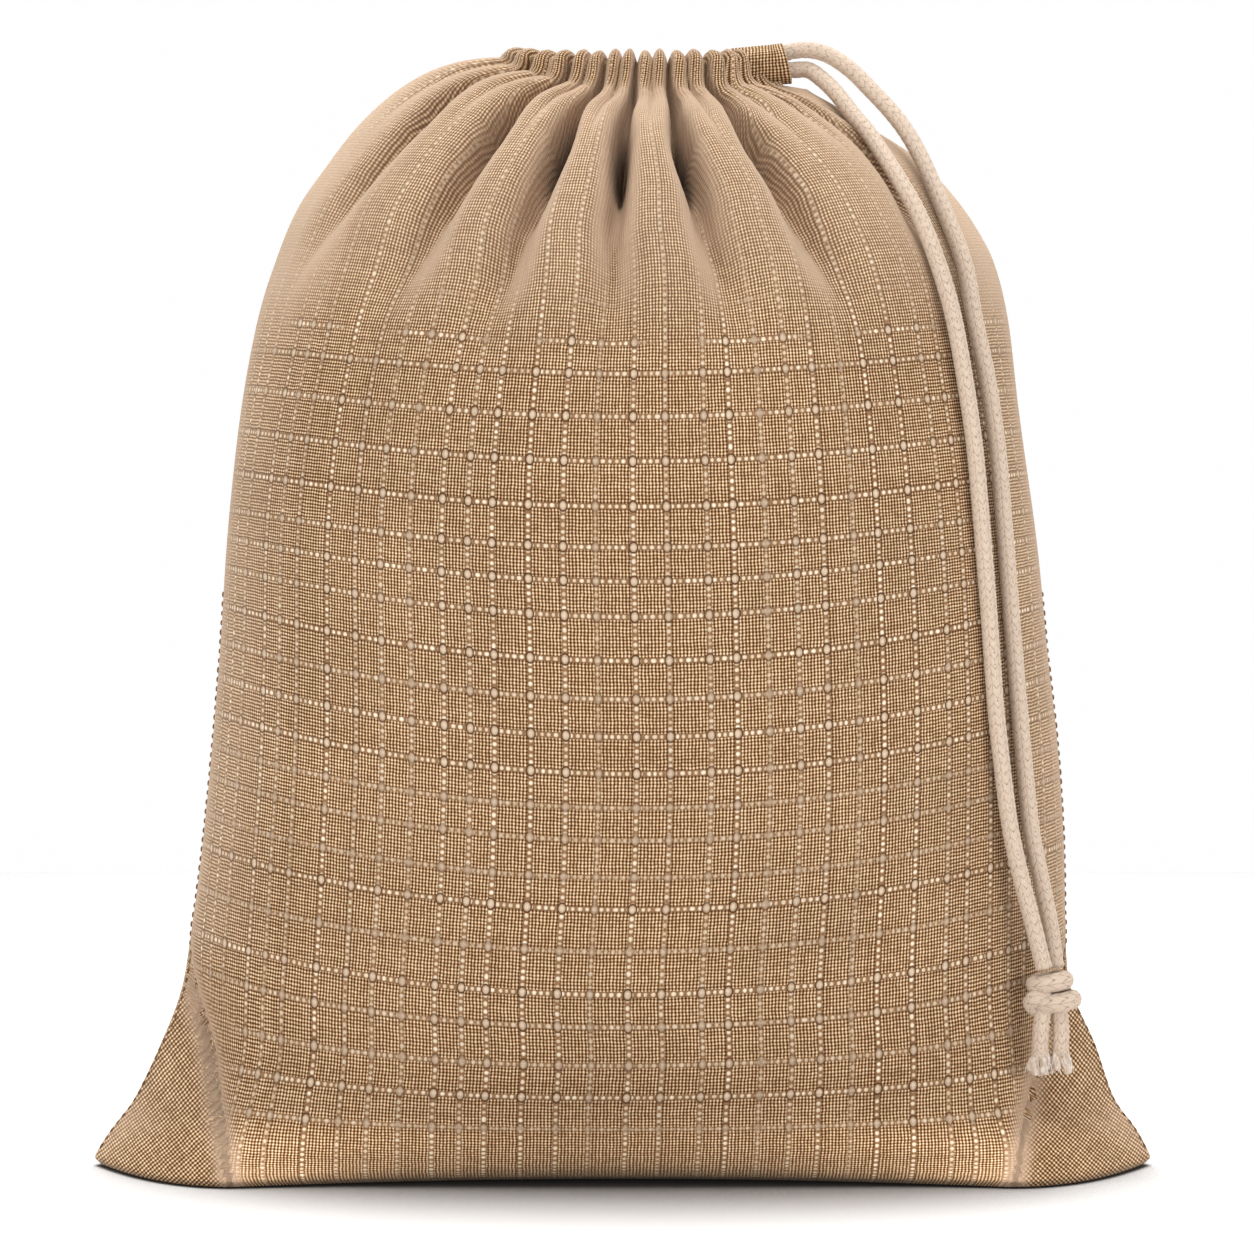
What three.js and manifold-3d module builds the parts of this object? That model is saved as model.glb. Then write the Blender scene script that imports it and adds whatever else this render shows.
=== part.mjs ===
// Linen drawstring bag, standing on its folded bottom with the mouth drawn shut.
// Millimetres, +Z up, front towards -Y, origin on the floor under the middle of the bag.
import * as THREE from 'three';
import { mergeVertices } from 'three/addons/utils/BufferGeometryUtils.js';
import Module from 'manifold-3d';

const wasm = await Module();
wasm.setup();

// Driving sizes
const clothThickness = 1.6;
const foldedClothThickness = 2.3; // measured across the fall of a fold
const ringHalfWidth = 39; // drawn mouth, middle of the cord tunnel
const ringHalfDepth = 19;
const ringMiddleX = 6.5;
const tunnelHeight = 10.6;
const pinchHeight = 285; // where the tunnel's stitching draws the cloth in
const rufflesPerFace = 16;
const ruffleDepth = 1.3;
const ruffleStart = 262; // height from which the folds have their full depth and the ruffles grow
const lowestFolds = 190;
const fullFoldRoom = 34; // sections less deep than this have shallower folds
const tunnelEndX = 45.6; // the tunnel's open end, cut flat, where both ends of the cord come out
const cordDiameter = 4.4;
const cordSides = 10;
const touchingGap = 0.3;
const knotMiddle = new THREE.Vector3(111.4, -37.4, 48.9);
const knotHeight = 11.6;

// Mesh density: columns across one face of the cloth, from side seam to side seam
const fineColumns = 64;
const coarseColumns = 32;

// Sections of the cloth, from the patch that lies on the floor up to the drawn neck.
// left, right: side seams. midZ, depth: middle of the front. The corner that spreads on the floor is
// a wedge outside the crease, which stands creaseDepth in front of the seams.
const sections = [
  { left: -139.6, leftZ: 0, right: 139.6, rightZ: 0, midZ: 0, depth: 31, crease: 100, creaseDepth: 48 },
  { left: -141.4, leftZ: 1.6, right: 141.4, rightZ: 1.6, midZ: 1.6, depth: 39, crease: 100, creaseDepth: 50 },
  { left: -140.2, leftZ: 4.6, right: 140.4, rightZ: 4.6, midZ: 5, depth: 46, crease: 101, creaseDepth: 48 },
  { left: -136.6, leftZ: 10, right: 137.4, rightZ: 10, midZ: 11.5, depth: 52, crease: 102, creaseDepth: 44 },
  { left: -130.6, leftZ: 18, right: 131.8, rightZ: 18, midZ: 21, depth: 56.5, crease: 105, creaseDepth: 36 },
  { left: -124, leftZ: 32, right: 126.8, rightZ: 32, midZ: 34, depth: 60, crease: 109, creaseDepth: 25 },
  { left: -118.4, leftZ: 47, right: 120.4, rightZ: 47, midZ: 48, depth: 62.5, crease: 114, creaseDepth: 12 },
  { left: -116, leftZ: 62, right: 119.2, rightZ: 62, midZ: 62, depth: 64.5 },
  { left: -112.9, leftZ: 84, right: 118.4, rightZ: 84, midZ: 82, depth: 66.5 },
  { left: -109.8, leftZ: 110, right: 116.5, rightZ: 110, midZ: 108, depth: 68.5 },
  { left: -107.2, leftZ: 140, right: 113.3, rightZ: 140, midZ: 136, depth: 70 },
  { left: -104.8, leftZ: 172, right: 109.8, rightZ: 172, midZ: 166, depth: 70 },
  { left: -101.5, leftZ: 202, right: 106.3, rightZ: 202, midZ: 195, depth: 68.5 },
  { left: -97.2, leftZ: 226, right: 103.3, rightZ: 226, midZ: 219, depth: 65 },
  { left: -92.1, leftZ: 242.3, right: 99.3, rightZ: 241, midZ: 234.5, depth: 60.5 },
  { left: -86.5, leftZ: 255.5, right: 93.5, rightZ: 251.5, midZ: 246, depth: 55.5 },
  { left: -79, leftZ: 266.5, right: 87.5, rightZ: 259.5, midZ: 255.5, depth: 50 },
  { left: -71, leftZ: 277, right: 80, rightZ: 267.5, midZ: 263.5, depth: 44.5 },
  { left: -62.6, leftZ: 285, right: 72, rightZ: 273, midZ: 270.5, depth: 38.5 },
  { left: -54, leftZ: 291, right: 64, rightZ: 277.6, midZ: 275.6, depth: 32.5 },
  { left: -45, leftZ: 294.6, right: 57.2, rightZ: 282.6, midZ: 279.2, depth: 27.2 },
  { left: -37, leftZ: 295.4, right: 50.5, rightZ: 286.4, midZ: 282.2, depth: 22.6 },
];
const firstFineSection = 13;

// Folds that fan out of the drawn mouth. top and foot are places between the side seams, 0 at the
// left one and 1 at the right one; reach is the height at which the fold has died out.
const frontFolds = [
  { top: 0.165, foot: 0.105, depth: 8, width: 0.026, reach: 228 },
  { top: 0.285, foot: 0.242, depth: 9, width: 0.026, reach: 216 },
  { top: 0.385, foot: 0.342, depth: 10, width: 0.026, reach: 200 },
  { top: 0.475, foot: 0.478, depth: 10, width: 0.024, reach: 198 },
  { top: 0.568, foot: 0.612, depth: 10, width: 0.026, reach: 200 },
  { top: 0.675, foot: 0.728, depth: 9, width: 0.028, reach: 212 },
  { top: 0.850, foot: 0.830, depth: 8, width: 0.026, reach: 234 },
];
const backFolds = [
  { top: 0.130, foot: 0.095, depth: 7, width: 0.026, reach: 230 },
  { top: 0.240, foot: 0.205, depth: 9, width: 0.028, reach: 210 },
  { top: 0.355, foot: 0.330, depth: 10, width: 0.024, reach: 204 },
  { top: 0.462, foot: 0.455, depth: 9, width: 0.026, reach: 196 },
  { top: 0.575, foot: 0.590, depth: 10, width: 0.026, reach: 206 },
  { top: 0.690, foot: 0.730, depth: 9, width: 0.026, reach: 212 },
  { top: 0.830, foot: 0.880, depth: 8, width: 0.026, reach: 228 },
];

// The cord tunnel round the mouth: spread is added to the ring's half sizes, rise to the pinch.
const tunnelRows = [
  { spread: 0.5, rise: 0.0 },
  { spread: -0.2, rise: 2.8 },
  { spread: -0.3, rise: 6.2 },
  { spread: -0.9, rise: 9.2 },
  { spread: -3.0, rise: tunnelHeight },
  { spread: -5.4, rise: 9.4 },
  { spread: -6.4, rise: 5.0 },
  { spread: -6.6, rise: 0.0 },
];
const tunnelEndRise = 4.2; // both ends of the ring stand higher than its middle

function sectionDepth(section, side) {
  const half = (section.right - section.left) / 2;
  const across = Math.abs(side) * half;
  const crease = section.crease ?? half;
  const creaseDepth = section.creaseDepth ?? 0;
  if (across < crease) {
    const bulge = section.depth - creaseDepth;
    const roundness = bulge > 0 ? 0.5 : 1;
    return creaseDepth + bulge * Math.pow(1 - Math.pow(across / crease, 2), roundness);
  }
  const outward = Math.min(1, (across - crease) / (half - crease + 1e-9));
  return creaseDepth * (1 - outward * outward);
}

// Point of a section on the front; side runs from -1 at the left seam to 1 at the right one.
function sectionPoint(section, side) {
  const half = (section.right - section.left) / 2;
  const sideZ = side < 0 ? section.leftZ : section.rightZ;
  return new THREE.Vector3(
    (section.left + section.right) / 2 + side * half,
    -sectionDepth(section, side),
    section.midZ + (sideZ - section.midZ) * side * side,
  );
}

// Points at even distances along the cloth, from the left seam to the right one.
function spreadEvenly(pointAt, columns) {
  const samples = 400;
  const points = [];
  const lengths = [0];
  for (let i = 0; i <= samples; i += 1) {
    points.push(pointAt(-Math.cos((Math.PI * i) / samples)));
    if (i > 0) {
      lengths.push(lengths[i - 1] + points[i].distanceTo(points[i - 1]));
    }
  }
  const spread = [];
  let at = 0;
  for (let column = 0; column <= columns; column += 1) {
    const wanted = (lengths[samples] * column) / columns;
    while (at < samples - 1 && lengths[at + 1] < wanted) {
      at += 1;
    }
    const share = (wanted - lengths[at]) / (lengths[at + 1] - lengths[at]);
    spread.push(points[at].clone().lerp(points[at + 1], share));
  }
  return spread;
}

// A closed ring: the front from left to right, then the back from right to left.
function closedRing(front) {
  const back = front.slice(1, -1).reverse();
  return front.concat(back.map((point) => new THREE.Vector3(point.x, -point.y, point.z)));
}

function sectionRing(section) {
  return closedRing(spreadEvenly((side) => sectionPoint(section, side), fineColumns));
}

function tunnelRing(row) {
  const halfWidth = ringHalfWidth + row.spread;
  const halfDepth = ringHalfDepth + row.spread;
  const pointAt = (side) => new THREE.Vector3(
    ringMiddleX + halfWidth * side,
    -halfDepth * Math.pow(1 - Math.pow(Math.abs(side), 2.6), 1 / 2.2),
    pinchHeight + row.rise + tunnelEndRise * side ** 4,
  );
  return closedRing(spreadEvenly(pointAt, fineColumns));
}

// Place of a ring's point between the side seams, and the folds of the face that it is on.
function placeOnFace(index) {
  const onFront = index <= fineColumns;
  return {
    across: onFront ? index / fineColumns : 2 - index / fineColumns,
    folds: onFront ? frontFolds : backFolds,
  };
}

function foldDepth(index, section) {
  const { across, folds } = placeOnFace(index);
  const roomForFolds = Math.min(1, section.depth / fullFoldRoom);
  let depth = 0;
  for (const fold of folds) {
    const rise = (section.midZ - fold.reach) / (ruffleStart - fold.reach);
    const growth = THREE.MathUtils.clamp(rise, 0, 1);
    const place = THREE.MathUtils.lerp(fold.foot, fold.top, growth);
    const nearness = Math.exp(-Math.pow((across - place) / fold.width, 2));
    depth += fold.depth * Math.pow(growth, 1.2) * nearness;
  }
  return depth * roomForFolds;
}

// Small ruffles of the drawn mouth, a ridge and a groove for each stitch of gathering.
function ruffle(index) {
  const { across } = placeOnFace(index);
  const nearSeam = Math.min(1, Math.min(across, 1 - across) * 12);
  return ruffleDepth * nearSeam * Math.cos(2 * Math.PI * rufflesPerFace * across);
}

function outwardNormals(rings) {
  return rings.map((ring, r) => ring.map((point, i) => {
    const count = ring.length;
    const along = ring[(i + 1) % count].clone().sub(ring[(i + count - 1) % count]);
    const above = rings[Math.min(r + 1, rings.length - 1)][i];
    const below = rings[Math.max(r - 1, 0)][i];
    return along.cross(above.clone().sub(below)).normalize();
  }));
}

// Wall of the bag: the outer rings from the floor to the neck and the inner ones behind them.
function wallRings() {
  const base = sections.map(sectionRing);
  const normals = outwardNormals(base);
  const outer = [];
  const inner = [];
  sections.forEach((section, r) => {
    const closeness = THREE.MathUtils.smoothstep(section.midZ, ruffleStart, pinchHeight);
    const folded = section.midZ > lowestFolds;
    const thickness = folded ? foldedClothThickness : clothThickness;
    const shape = base[r].map((point, i) => {
      const lift = closeness * ruffle(i) - foldDepth(i, section);
      return point.clone().addScaledVector(normals[r][i], lift);
    });
    outer.push(shape);
    inner.push(shape.map((point, i) => point.clone().addScaledVector(normals[r][i], -thickness)));
  });
  return { outer, inner };
}

function tunnelRings() {
  return tunnelRows.map((row) => {
    const ring = tunnelRing(row);
    const middle = new THREE.Vector3(ringMiddleX, 0, 0);
    return ring.map((point, i) => {
      const outward = point.clone().sub(middle);
      outward.z = 0;
      outward.x *= ringHalfDepth / ringHalfWidth;
      const ruffled = point.clone().addScaledVector(outward.normalize(), ruffle(i));
      ruffled.x = Math.min(ruffled.x, tunnelEndX);
      return ruffled;
    });
  });
}

// The floor of the inside is one cloth above the outer one and a little smaller all round.
function insideFloorRing(ring) {
  const narrower = 0.975;
  const shallower = 0.96;
  return ring.map((point) => new THREE.Vector3(
    point.x * narrower,
    point.y * shallower,
    clothThickness,
  ));
}

function everyOther(ring) {
  return ring.filter((point, i) => i % (fineColumns / coarseColumns) === 0);
}

// Joins two rings that have as many points, or one twice as many as the other.
function stitchRings(triangles, lower, upper) {
  const fewest = Math.min(lower.length, upper.length);
  const lowerStep = lower.length / fewest;
  const upperStep = upper.length / fewest;
  for (let k = 0; k < fewest; k += 1) {
    const lowerPoints = [];
    const upperPoints = [];
    for (let i = 0; i <= lowerStep; i += 1) {
      lowerPoints.push(lower[(k * lowerStep + i) % lower.length]);
    }
    for (let i = 0; i <= upperStep; i += 1) {
      upperPoints.push(upper[(k * upperStep + i) % upper.length]);
    }
    if (lowerStep === upperStep) {
      triangles.push(lowerPoints[0], lowerPoints[1], upperPoints[1]);
      triangles.push(lowerPoints[0], upperPoints[1], upperPoints[0]);
    } else if (upperStep > lowerStep) {
      triangles.push(lowerPoints[0], upperPoints[1], upperPoints[0]);
      triangles.push(lowerPoints[0], lowerPoints[1], upperPoints[1]);
      triangles.push(lowerPoints[1], upperPoints[2], upperPoints[1]);
    } else {
      triangles.push(lowerPoints[0], lowerPoints[1], upperPoints[0]);
      triangles.push(lowerPoints[1], upperPoints[1], upperPoints[0]);
      triangles.push(lowerPoints[1], lowerPoints[2], upperPoints[1]);
    }
  }
}

// Closes a ring with strips from its front half to its back half.
function closeFlat(triangles, ring, facingUp) {
  const count = ring.length;
  for (let i = 0; i < count / 2; i += 1) {
    const corners = [ring[i], ring[i + 1], ring[count - i - 1], ring[(count - i) % count]];
    if (!facingUp) {
      corners.reverse();
    }
    if (corners[0] !== corners[1] && corners[1] !== corners[2]) {
      triangles.push(corners[0], corners[1], corners[2]);
    }
    if (corners[2] !== corners[3] && corners[0] !== corners[3]) {
      triangles.push(corners[0], corners[2], corners[3]);
    }
  }
}

function geometryFrom(triangles) {
  const geometry = new THREE.BufferGeometry().setFromPoints(triangles);
  geometry.computeVertexNormals();
  return geometry;
}

function clothGeometry() {
  const { outer, inner } = wallRings();
  const thin = (ring, r) => (r < firstFineSection ? everyOther(ring) : ring);
  const insideFloor = everyOther(insideFloorRing(outer[1]));
  const insideWall = inner.map(thin).slice(2).reverse();
  const rings = [...outer.map(thin), ...tunnelRings(), ...insideWall, insideFloor];
  const triangles = [];
  for (let r = 1; r < rings.length; r += 1) {
    stitchRings(triangles, rings[r - 1], rings[r]);
  }
  closeFlat(triangles, rings[0], false);
  closeFlat(triangles, insideFloor, true);
  return geometryFrom(triangles);
}

// Middle lines of the two legs of the cord, from the tunnel's end over the shoulder to the knot
const upperLegRoute = [
  [46.0, -2.0, 298.2], [50.4, -2.3, 298.3], [55.2, -3.9, 296.7], [60.7, -6.6, 292.6],
  [65.6, -9.8, 287.2], [71.0, -13.8, 280.7], [75.3, -17.4, 274.3], [79.2, -21.4, 266.2],
  [84.2, -27.8, 252.9], [89.1, -33.2, 238.5], [91.6, -35.2, 224.0], [95.0, -35.6, 208.0],
  [97.6, -35.6, 190.0], [99.3, -35.8, 170.0], [101.0, -36.2, 148.0], [102.9, -36.0, 125.5],
  [104.5, -35.6, 108.0], [106.4, -35.0, 91.0], [109.0, -34.4, 78.0], [111.2, -34.4, 67.0],
  [112.7, -35.0, 55.5],
];
const lowerLegRoute = [
  [46.1, -1.6, 293.1], [49.8, -2.0, 293.0], [53.2, -5.2, 290.2], [56.8, -9.8, 285.9],
  [60.8, -15.2, 279.8], [65.0, -21.0, 273.7], [69.1, -26.8, 266.4], [73.2, -31.8, 258.9],
  [77.1, -35.4, 251.0], [81.3, -39.4, 239.5], [85.2, -41.2, 226.0], [88.4, -41.8, 209.0],
  [91.1, -41.9, 190.0], [93.0, -42.1, 169.0], [94.8, -42.6, 146.0], [96.4, -42.4, 124.0],
  [98.2, -41.4, 108.0], [100.4, -40.4, 92.0], [103.5, -39.8, 78.0], [106.6, -39.8, 66.0],
  [109.2, -40.1, 55.5],
];

// The two wraps of the knot and the lobe at its lower left: lean turns a wrap up to the right.
const knotWraps = [
  { x: -0.4, z: 2.6, halfWidth: 6.1, halfDepth: 5.4, cord: 2.7, lean: 8 },
  { x: 1.2, z: -2.5, halfWidth: 6.7, halfDepth: 5.8, cord: 2.6, lean: 10 },
];
const knotLobe = { x: -5.8, y: -0.8, z: -2.0, radius: 3.0 };
const knotCoreRadius = 4.6;

// Cord ends under the knot: lean is the angle from straight down, to the right.
const cordEnds = [
  { name: 'cord_end_left', x: -1.5, y: -1.2, lean: -9, length: 14.2 },
  { name: 'cord_end_right', x: 3.2, y: -0.2, lean: 4, length: 14.6 },
];
const frayedRadius = 3.0;

function legGeometry(route) {
  const path = new THREE.CatmullRomCurve3(route.map((point) => new THREE.Vector3(...point)));
  const section = new THREE.Shape();
  section.absarc(0, 0, cordDiameter / 2, 0, 2 * Math.PI);
  return new THREE.ExtrudeGeometry(section, {
    steps: 34,
    curveSegments: cordSides / 2,
    bevelEnabled: false,
    extrudePath: path,
  });
}

function solidFrom(geometry) {
  const bare = geometry.clone();
  bare.deleteAttribute('normal');
  bare.deleteAttribute('uv');
  const merged = mergeVertices(bare, 1e-4);
  return new wasm.Manifold(new wasm.Mesh({
    numProp: 3,
    vertProperties: new Float32Array(merged.attributes.position.array),
    triVerts: new Uint32Array(merged.index.array),
  }));
}

function geometryOf(solid) {
  const mesh = solid.getMesh();
  const geometry = new THREE.BufferGeometry();
  geometry.setAttribute('position', new THREE.BufferAttribute(mesh.vertProperties, 3));
  geometry.setIndex(new THREE.BufferAttribute(mesh.triVerts, 1));
  geometry.computeVertexNormals();
  return geometry;
}

// One wrap of the cord round the knot, an oval ring that leans
function wrapGeometry(wrap) {
  const geometry = new THREE.TorusGeometry(1, wrap.cord / wrap.halfWidth, 8, 22);
  const inner = wrap.halfWidth - wrap.cord / 2;
  geometry.scale(inner, wrap.halfDepth - wrap.cord / 2, wrap.halfWidth);
  geometry.rotateY(-THREE.MathUtils.degToRad(wrap.lean));
  geometry.translate(wrap.x, 0, wrap.z);
  return geometry;
}

function knotGeometry() {
  const core = new THREE.CylinderGeometry(knotCoreRadius, knotCoreRadius, knotHeight, 14);
  core.rotateX(Math.PI / 2);
  const lobe = new THREE.SphereGeometry(knotLobe.radius, 12, 8);
  lobe.translate(knotLobe.x, knotLobe.y, knotLobe.z);
  let solid = solidFrom(core).add(solidFrom(lobe));
  for (const wrap of knotWraps) {
    solid = solid.add(solidFrom(wrapGeometry(wrap)));
  }
  return geometryOf(solid);
}

// A cut end of the cord, whose strands spread at the tip
function cordEndGeometry(length) {
  const radius = cordDiameter / 2;
  const profile = [
    [0, 0], [radius, 0], [radius, -length * 0.55], [radius * 1.12, -length * 0.75],
    [frayedRadius, -length], [0, -length],
  ];
  const points = profile.map(([r, y]) => new THREE.Vector2(r, y)).reverse();
  const geometry = new THREE.LatheGeometry(points, cordSides);
  geometry.rotateX(Math.PI / 2);
  return geometry;
}

const clothMaterial = new THREE.MeshStandardMaterial({ color: 0xb08d6b, roughness: 0.95, metalness: 0 });
const cordMaterial = new THREE.MeshStandardMaterial({ color: 0xd9c6ae, roughness: 0.9, metalness: 0 });

function namedMesh(name, geometry, material) {
  const mesh = new THREE.Mesh(geometry, material);
  mesh.name = name;
  return mesh;
}

const group = new THREE.Group();
group.add(namedMesh('bag_cloth', clothGeometry(), clothMaterial));
group.add(namedMesh('drawcord_upper_leg', legGeometry(upperLegRoute), cordMaterial));
group.add(namedMesh('drawcord_lower_leg', legGeometry(lowerLegRoute), cordMaterial));

const knot = namedMesh('drawcord_knot', knotGeometry(), cordMaterial);
knot.position.copy(knotMiddle);
group.add(knot);

for (const end of cordEnds) {
  const mesh = namedMesh(end.name, cordEndGeometry(end.length), cordMaterial);
  const lean = THREE.MathUtils.degToRad(end.lean);
  const drop = knotHeight / 2 + touchingGap + (cordDiameter / 2) * Math.sin(Math.abs(lean));
  mesh.position.copy(knotMiddle).add(new THREE.Vector3(end.x, end.y, -drop));
  mesh.rotation.y = -lean;
  group.add(mesh);
}

export default group;
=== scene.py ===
import math

import bmesh
import bpy
import numpy as np
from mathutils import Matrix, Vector, noise


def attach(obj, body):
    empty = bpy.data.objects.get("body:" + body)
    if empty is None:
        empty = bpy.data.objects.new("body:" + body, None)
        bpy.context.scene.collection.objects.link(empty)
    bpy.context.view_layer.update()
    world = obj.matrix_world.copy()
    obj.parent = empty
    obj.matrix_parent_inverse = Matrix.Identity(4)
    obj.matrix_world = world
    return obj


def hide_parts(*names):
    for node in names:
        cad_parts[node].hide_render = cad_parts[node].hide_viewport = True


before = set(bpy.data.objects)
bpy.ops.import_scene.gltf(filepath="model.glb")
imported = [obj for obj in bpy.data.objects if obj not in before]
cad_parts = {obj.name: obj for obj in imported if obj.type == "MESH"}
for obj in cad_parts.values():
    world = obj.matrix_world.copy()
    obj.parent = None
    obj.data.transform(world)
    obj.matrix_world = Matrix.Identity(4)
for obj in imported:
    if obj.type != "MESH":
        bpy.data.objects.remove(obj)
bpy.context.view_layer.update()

# Linen drawstring bag that stands on its folded bottom with the mouth drawn shut.
# Metres, +Z up, front towards -Y. The shape tables below are in millimetres, as on a pattern sheet.
scene = bpy.context.scene
scene.view_settings.view_transform = "Standard"
scene.cycles.max_bounces = 5
scene.cycles.diffuse_bounces = 3
mm = 0.001


# Camera
cameraLook = {"place": (0.0012, -1.170, 0.144), "lens": 125.3, "sensor": 36}

cameraData = bpy.data.cameras.new("camera")
cameraData.lens = cameraLook["lens"]
cameraData.sensor_width = cameraLook["sensor"]
camera = bpy.data.objects.new("camera", cameraData)
camera.location = cameraLook["place"]
camera.rotation_euler = (math.radians(90), 0, 0)
scene.collection.objects.link(camera)
scene.camera = camera


# Helpers
def meshPiece(name, points, faces, uvs=None, material=None):
    # points in metres; uvs is {map name: array of one (u, v) for each face corner}
    mesh = bpy.data.meshes.new(name)
    mesh.from_pydata(np.asarray(points, dtype=float).tolist(), [], faces)
    for uvName, corners in (uvs or {}).items():
        layer = mesh.uv_layers.new(name=uvName)
        layer.data.foreach_set("uv", np.asarray(corners, dtype=np.float32).ravel())
    mesh.polygons.foreach_set("use_smooth", [True] * len(mesh.polygons))
    if material:
        mesh.materials.append(material)
    mesh.update()
    piece = bpy.data.objects.new(name, mesh)
    scene.collection.objects.link(piece)
    return piece


def smooth(value, low, high):
    t = np.clip((value - low) / (high - low), 0, 1)
    return t * t * (3 - 2 * t)


def between(a, b, c, d, t):
    # Catmull-Rom: from b to c as t goes from 0 to 1
    return 0.5 * (2 * b + (c - a) * t + (2 * a - 5 * b + 4 * c - d) * t * t
                  + (3 * b - a - 3 * c + d) * t ** 3)


def curveThrough(points, step):
    # a smooth line through given points, then points at even steps along it
    p = np.asarray(points, dtype=float)
    p = np.vstack([2 * p[0] - p[1], p, 2 * p[-1] - p[-2]])
    line = []
    for a, b, c, d in zip(p, p[1:], p[2:], p[3:]):
        for t in np.linspace(0, 1, 24, endpoint=False):
            line.append(between(a, b, c, d, t))
    line = np.array(line + [p[-2]])
    reach = np.concatenate([[0], np.cumsum(np.linalg.norm(np.diff(line, axis=0), axis=1))])
    wanted = np.linspace(0, reach[-1], max(3, int(round(reach[-1] / step)) + 1))
    return np.stack([np.interp(wanted, reach, line[:, k]) for k in range(3)], axis=1), wanted


class NodeTree:
    # short calls for what every node tree here repeats
    def __init__(self, tree):
        self.tree = tree
        self.tree.nodes.clear()

    def node(self, kind, **settings):
        made = self.tree.nodes.new(kind)
        for key, value in settings.items():
            setattr(made, key, value)
        return made

    def plug(self, socket, value):
        if isinstance(value, bpy.types.NodeSocket):
            self.tree.links.new(value, socket)
        else:
            socket.default_value = value

    def calc(self, operation, *values, clamp=False):
        made = self.node("ShaderNodeMath", operation=operation, use_clamp=clamp)
        for socket, value in zip(made.inputs, values):
            self.plug(socket, value)
        return made.outputs[0]

    def times(self, a, b, clamp=False):
        return self.calc("MULTIPLY", a, b, clamp=clamp)

    def plus(self, a, b, clamp=False):
        return self.calc("ADD", a, b, clamp=clamp)

    def minus(self, a, b):
        return self.calc("SUBTRACT", a, b)

    def made(self, kind, inputs, **settings):
        # a node with the values or links of its named inputs
        made = self.node(kind, **settings)
        for name, value in inputs.items():
            self.plug(made.inputs[name], value)
        return made

    def random(self, low, high, seed, number=None):
        # a number between low and high for each element
        made = self.node("FunctionNodeRandomValue", data_type="FLOAT")
        ends = [socket for socket in made.inputs if socket.type == "VALUE"]
        self.plug(ends[0], low)
        self.plug(ends[1], high)
        self.plug(made.inputs["Seed"], seed)
        if number is not None:
            self.plug(made.inputs["ID"], number)
        return [socket for socket in made.outputs if socket.type == "VALUE"][0]

    def vector(self, operation, a, b):
        made = self.node("ShaderNodeVectorMath", operation=operation)
        self.plug(made.inputs[0], a)
        self.plug(made.inputs["Scale" if operation == "SCALE" else 1], b)
        return made.outputs[0]

    def pair(self, x, y, z=0.0):
        made = self.node("ShaderNodeCombineXYZ")
        for socket, value in zip(made.inputs, (x, y, z)):
            self.plug(socket, value)
        return made.outputs[0]


class Shader(NodeTree):
    def __init__(self, name):
        self.material = bpy.data.materials.new(name)
        self.material.use_nodes = True
        super().__init__(self.material.node_tree)

    def ramp(self, value, low, high):
        # 0 at low, 1 at high, smooth between; low may be above high
        if low > high:
            return self.minus(1.0, self.ramp(value, high, low))
        made = self.node("ShaderNodeMapRange", interpolation_type="SMOOTHSTEP")
        for socket, part in zip(made.inputs, (value, low, high)):
            self.plug(socket, part)
        return made.outputs[0]

    def mix(self, share, a, b, how="MIX"):
        made = self.node("ShaderNodeMix", data_type="RGBA", blend_type=how)
        for socket, value in ((made.inputs[0], share), (made.inputs[6], a), (made.inputs[7], b)):
            self.plug(socket, value)
        return made.outputs[2]

    def uv(self, name):
        split = self.node("ShaderNodeSeparateXYZ")
        self.tree.links.new(self.node("ShaderNodeUVMap", uv_map=name).outputs[0], split.inputs[0])
        return split.outputs[0], split.outputs[1]

    def steps(self, value, stops):
        # a colour for each value from 0 to 1, from (place, linear colour) stops
        made = self.node("ShaderNodeValToRGB")
        while len(made.color_ramp.elements) < len(stops):
            made.color_ramp.elements.new(1.0)
        for element, (place, colour) in zip(made.color_ramp.elements, stops):
            element.position = place
            element.color = (*colour, 1)
        self.plug(made.inputs[0], value)
        return made.outputs[0]

    def grey(self, value):
        made = self.node("ShaderNodeCombineColor")
        for socket in made.inputs[:3]:
            self.plug(socket, value)
        return made.outputs[0]

    def chance(self, x, y=0.0):
        # a random number from 0 to 1 for each pair of whole numbers
        made = self.node("ShaderNodeTexWhiteNoise", noise_dimensions="2D")
        self.plug(made.inputs["Vector"], self.pair(x, y))
        return made.outputs[0]

    def cloud(self, vector, scale, detail=2.0):
        made = self.node("ShaderNodeTexNoise")
        self.plug(made.inputs["Vector"], vector)
        self.plug(made.inputs["Scale"], scale)
        self.plug(made.inputs["Detail"], detail)
        return made.outputs[0]

    def attribute(self, name):
        return self.node("ShaderNodeAttribute", attribute_name=name).outputs["Fac"]

    def finish(self, colour, height, depth, roughness, sheen, sheenTint=(1, 1, 1, 1)):
        bump = self.node("ShaderNodeBump")
        bump.inputs["Strength"].default_value = 1.0
        bump.inputs["Distance"].default_value = depth
        self.plug(bump.inputs["Height"], height)
        skin = self.node("ShaderNodeBsdfPrincipled")
        self.plug(skin.inputs["Base Color"], colour)
        skin.inputs["Roughness"].default_value = roughness
        skin.inputs["Specular IOR Level"].default_value = 0.08
        skin.inputs["Sheen Weight"].default_value = sheen
        skin.inputs["Sheen Roughness"].default_value = 0.5
        skin.inputs["Sheen Tint"].default_value = sheenTint
        self.tree.links.new(bump.outputs[0], skin.inputs["Normal"])
        self.tree.links.new(skin.outputs[0], self.node("ShaderNodeOutputMaterial").inputs[0])
        return self.material


# Drawcord: routes, tube, braid
cordLook = {"radius": 2.2, "sides": 32, "step": 0.9, "columns": 6, "chevron": 2.5, "relief": 0.06}

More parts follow.
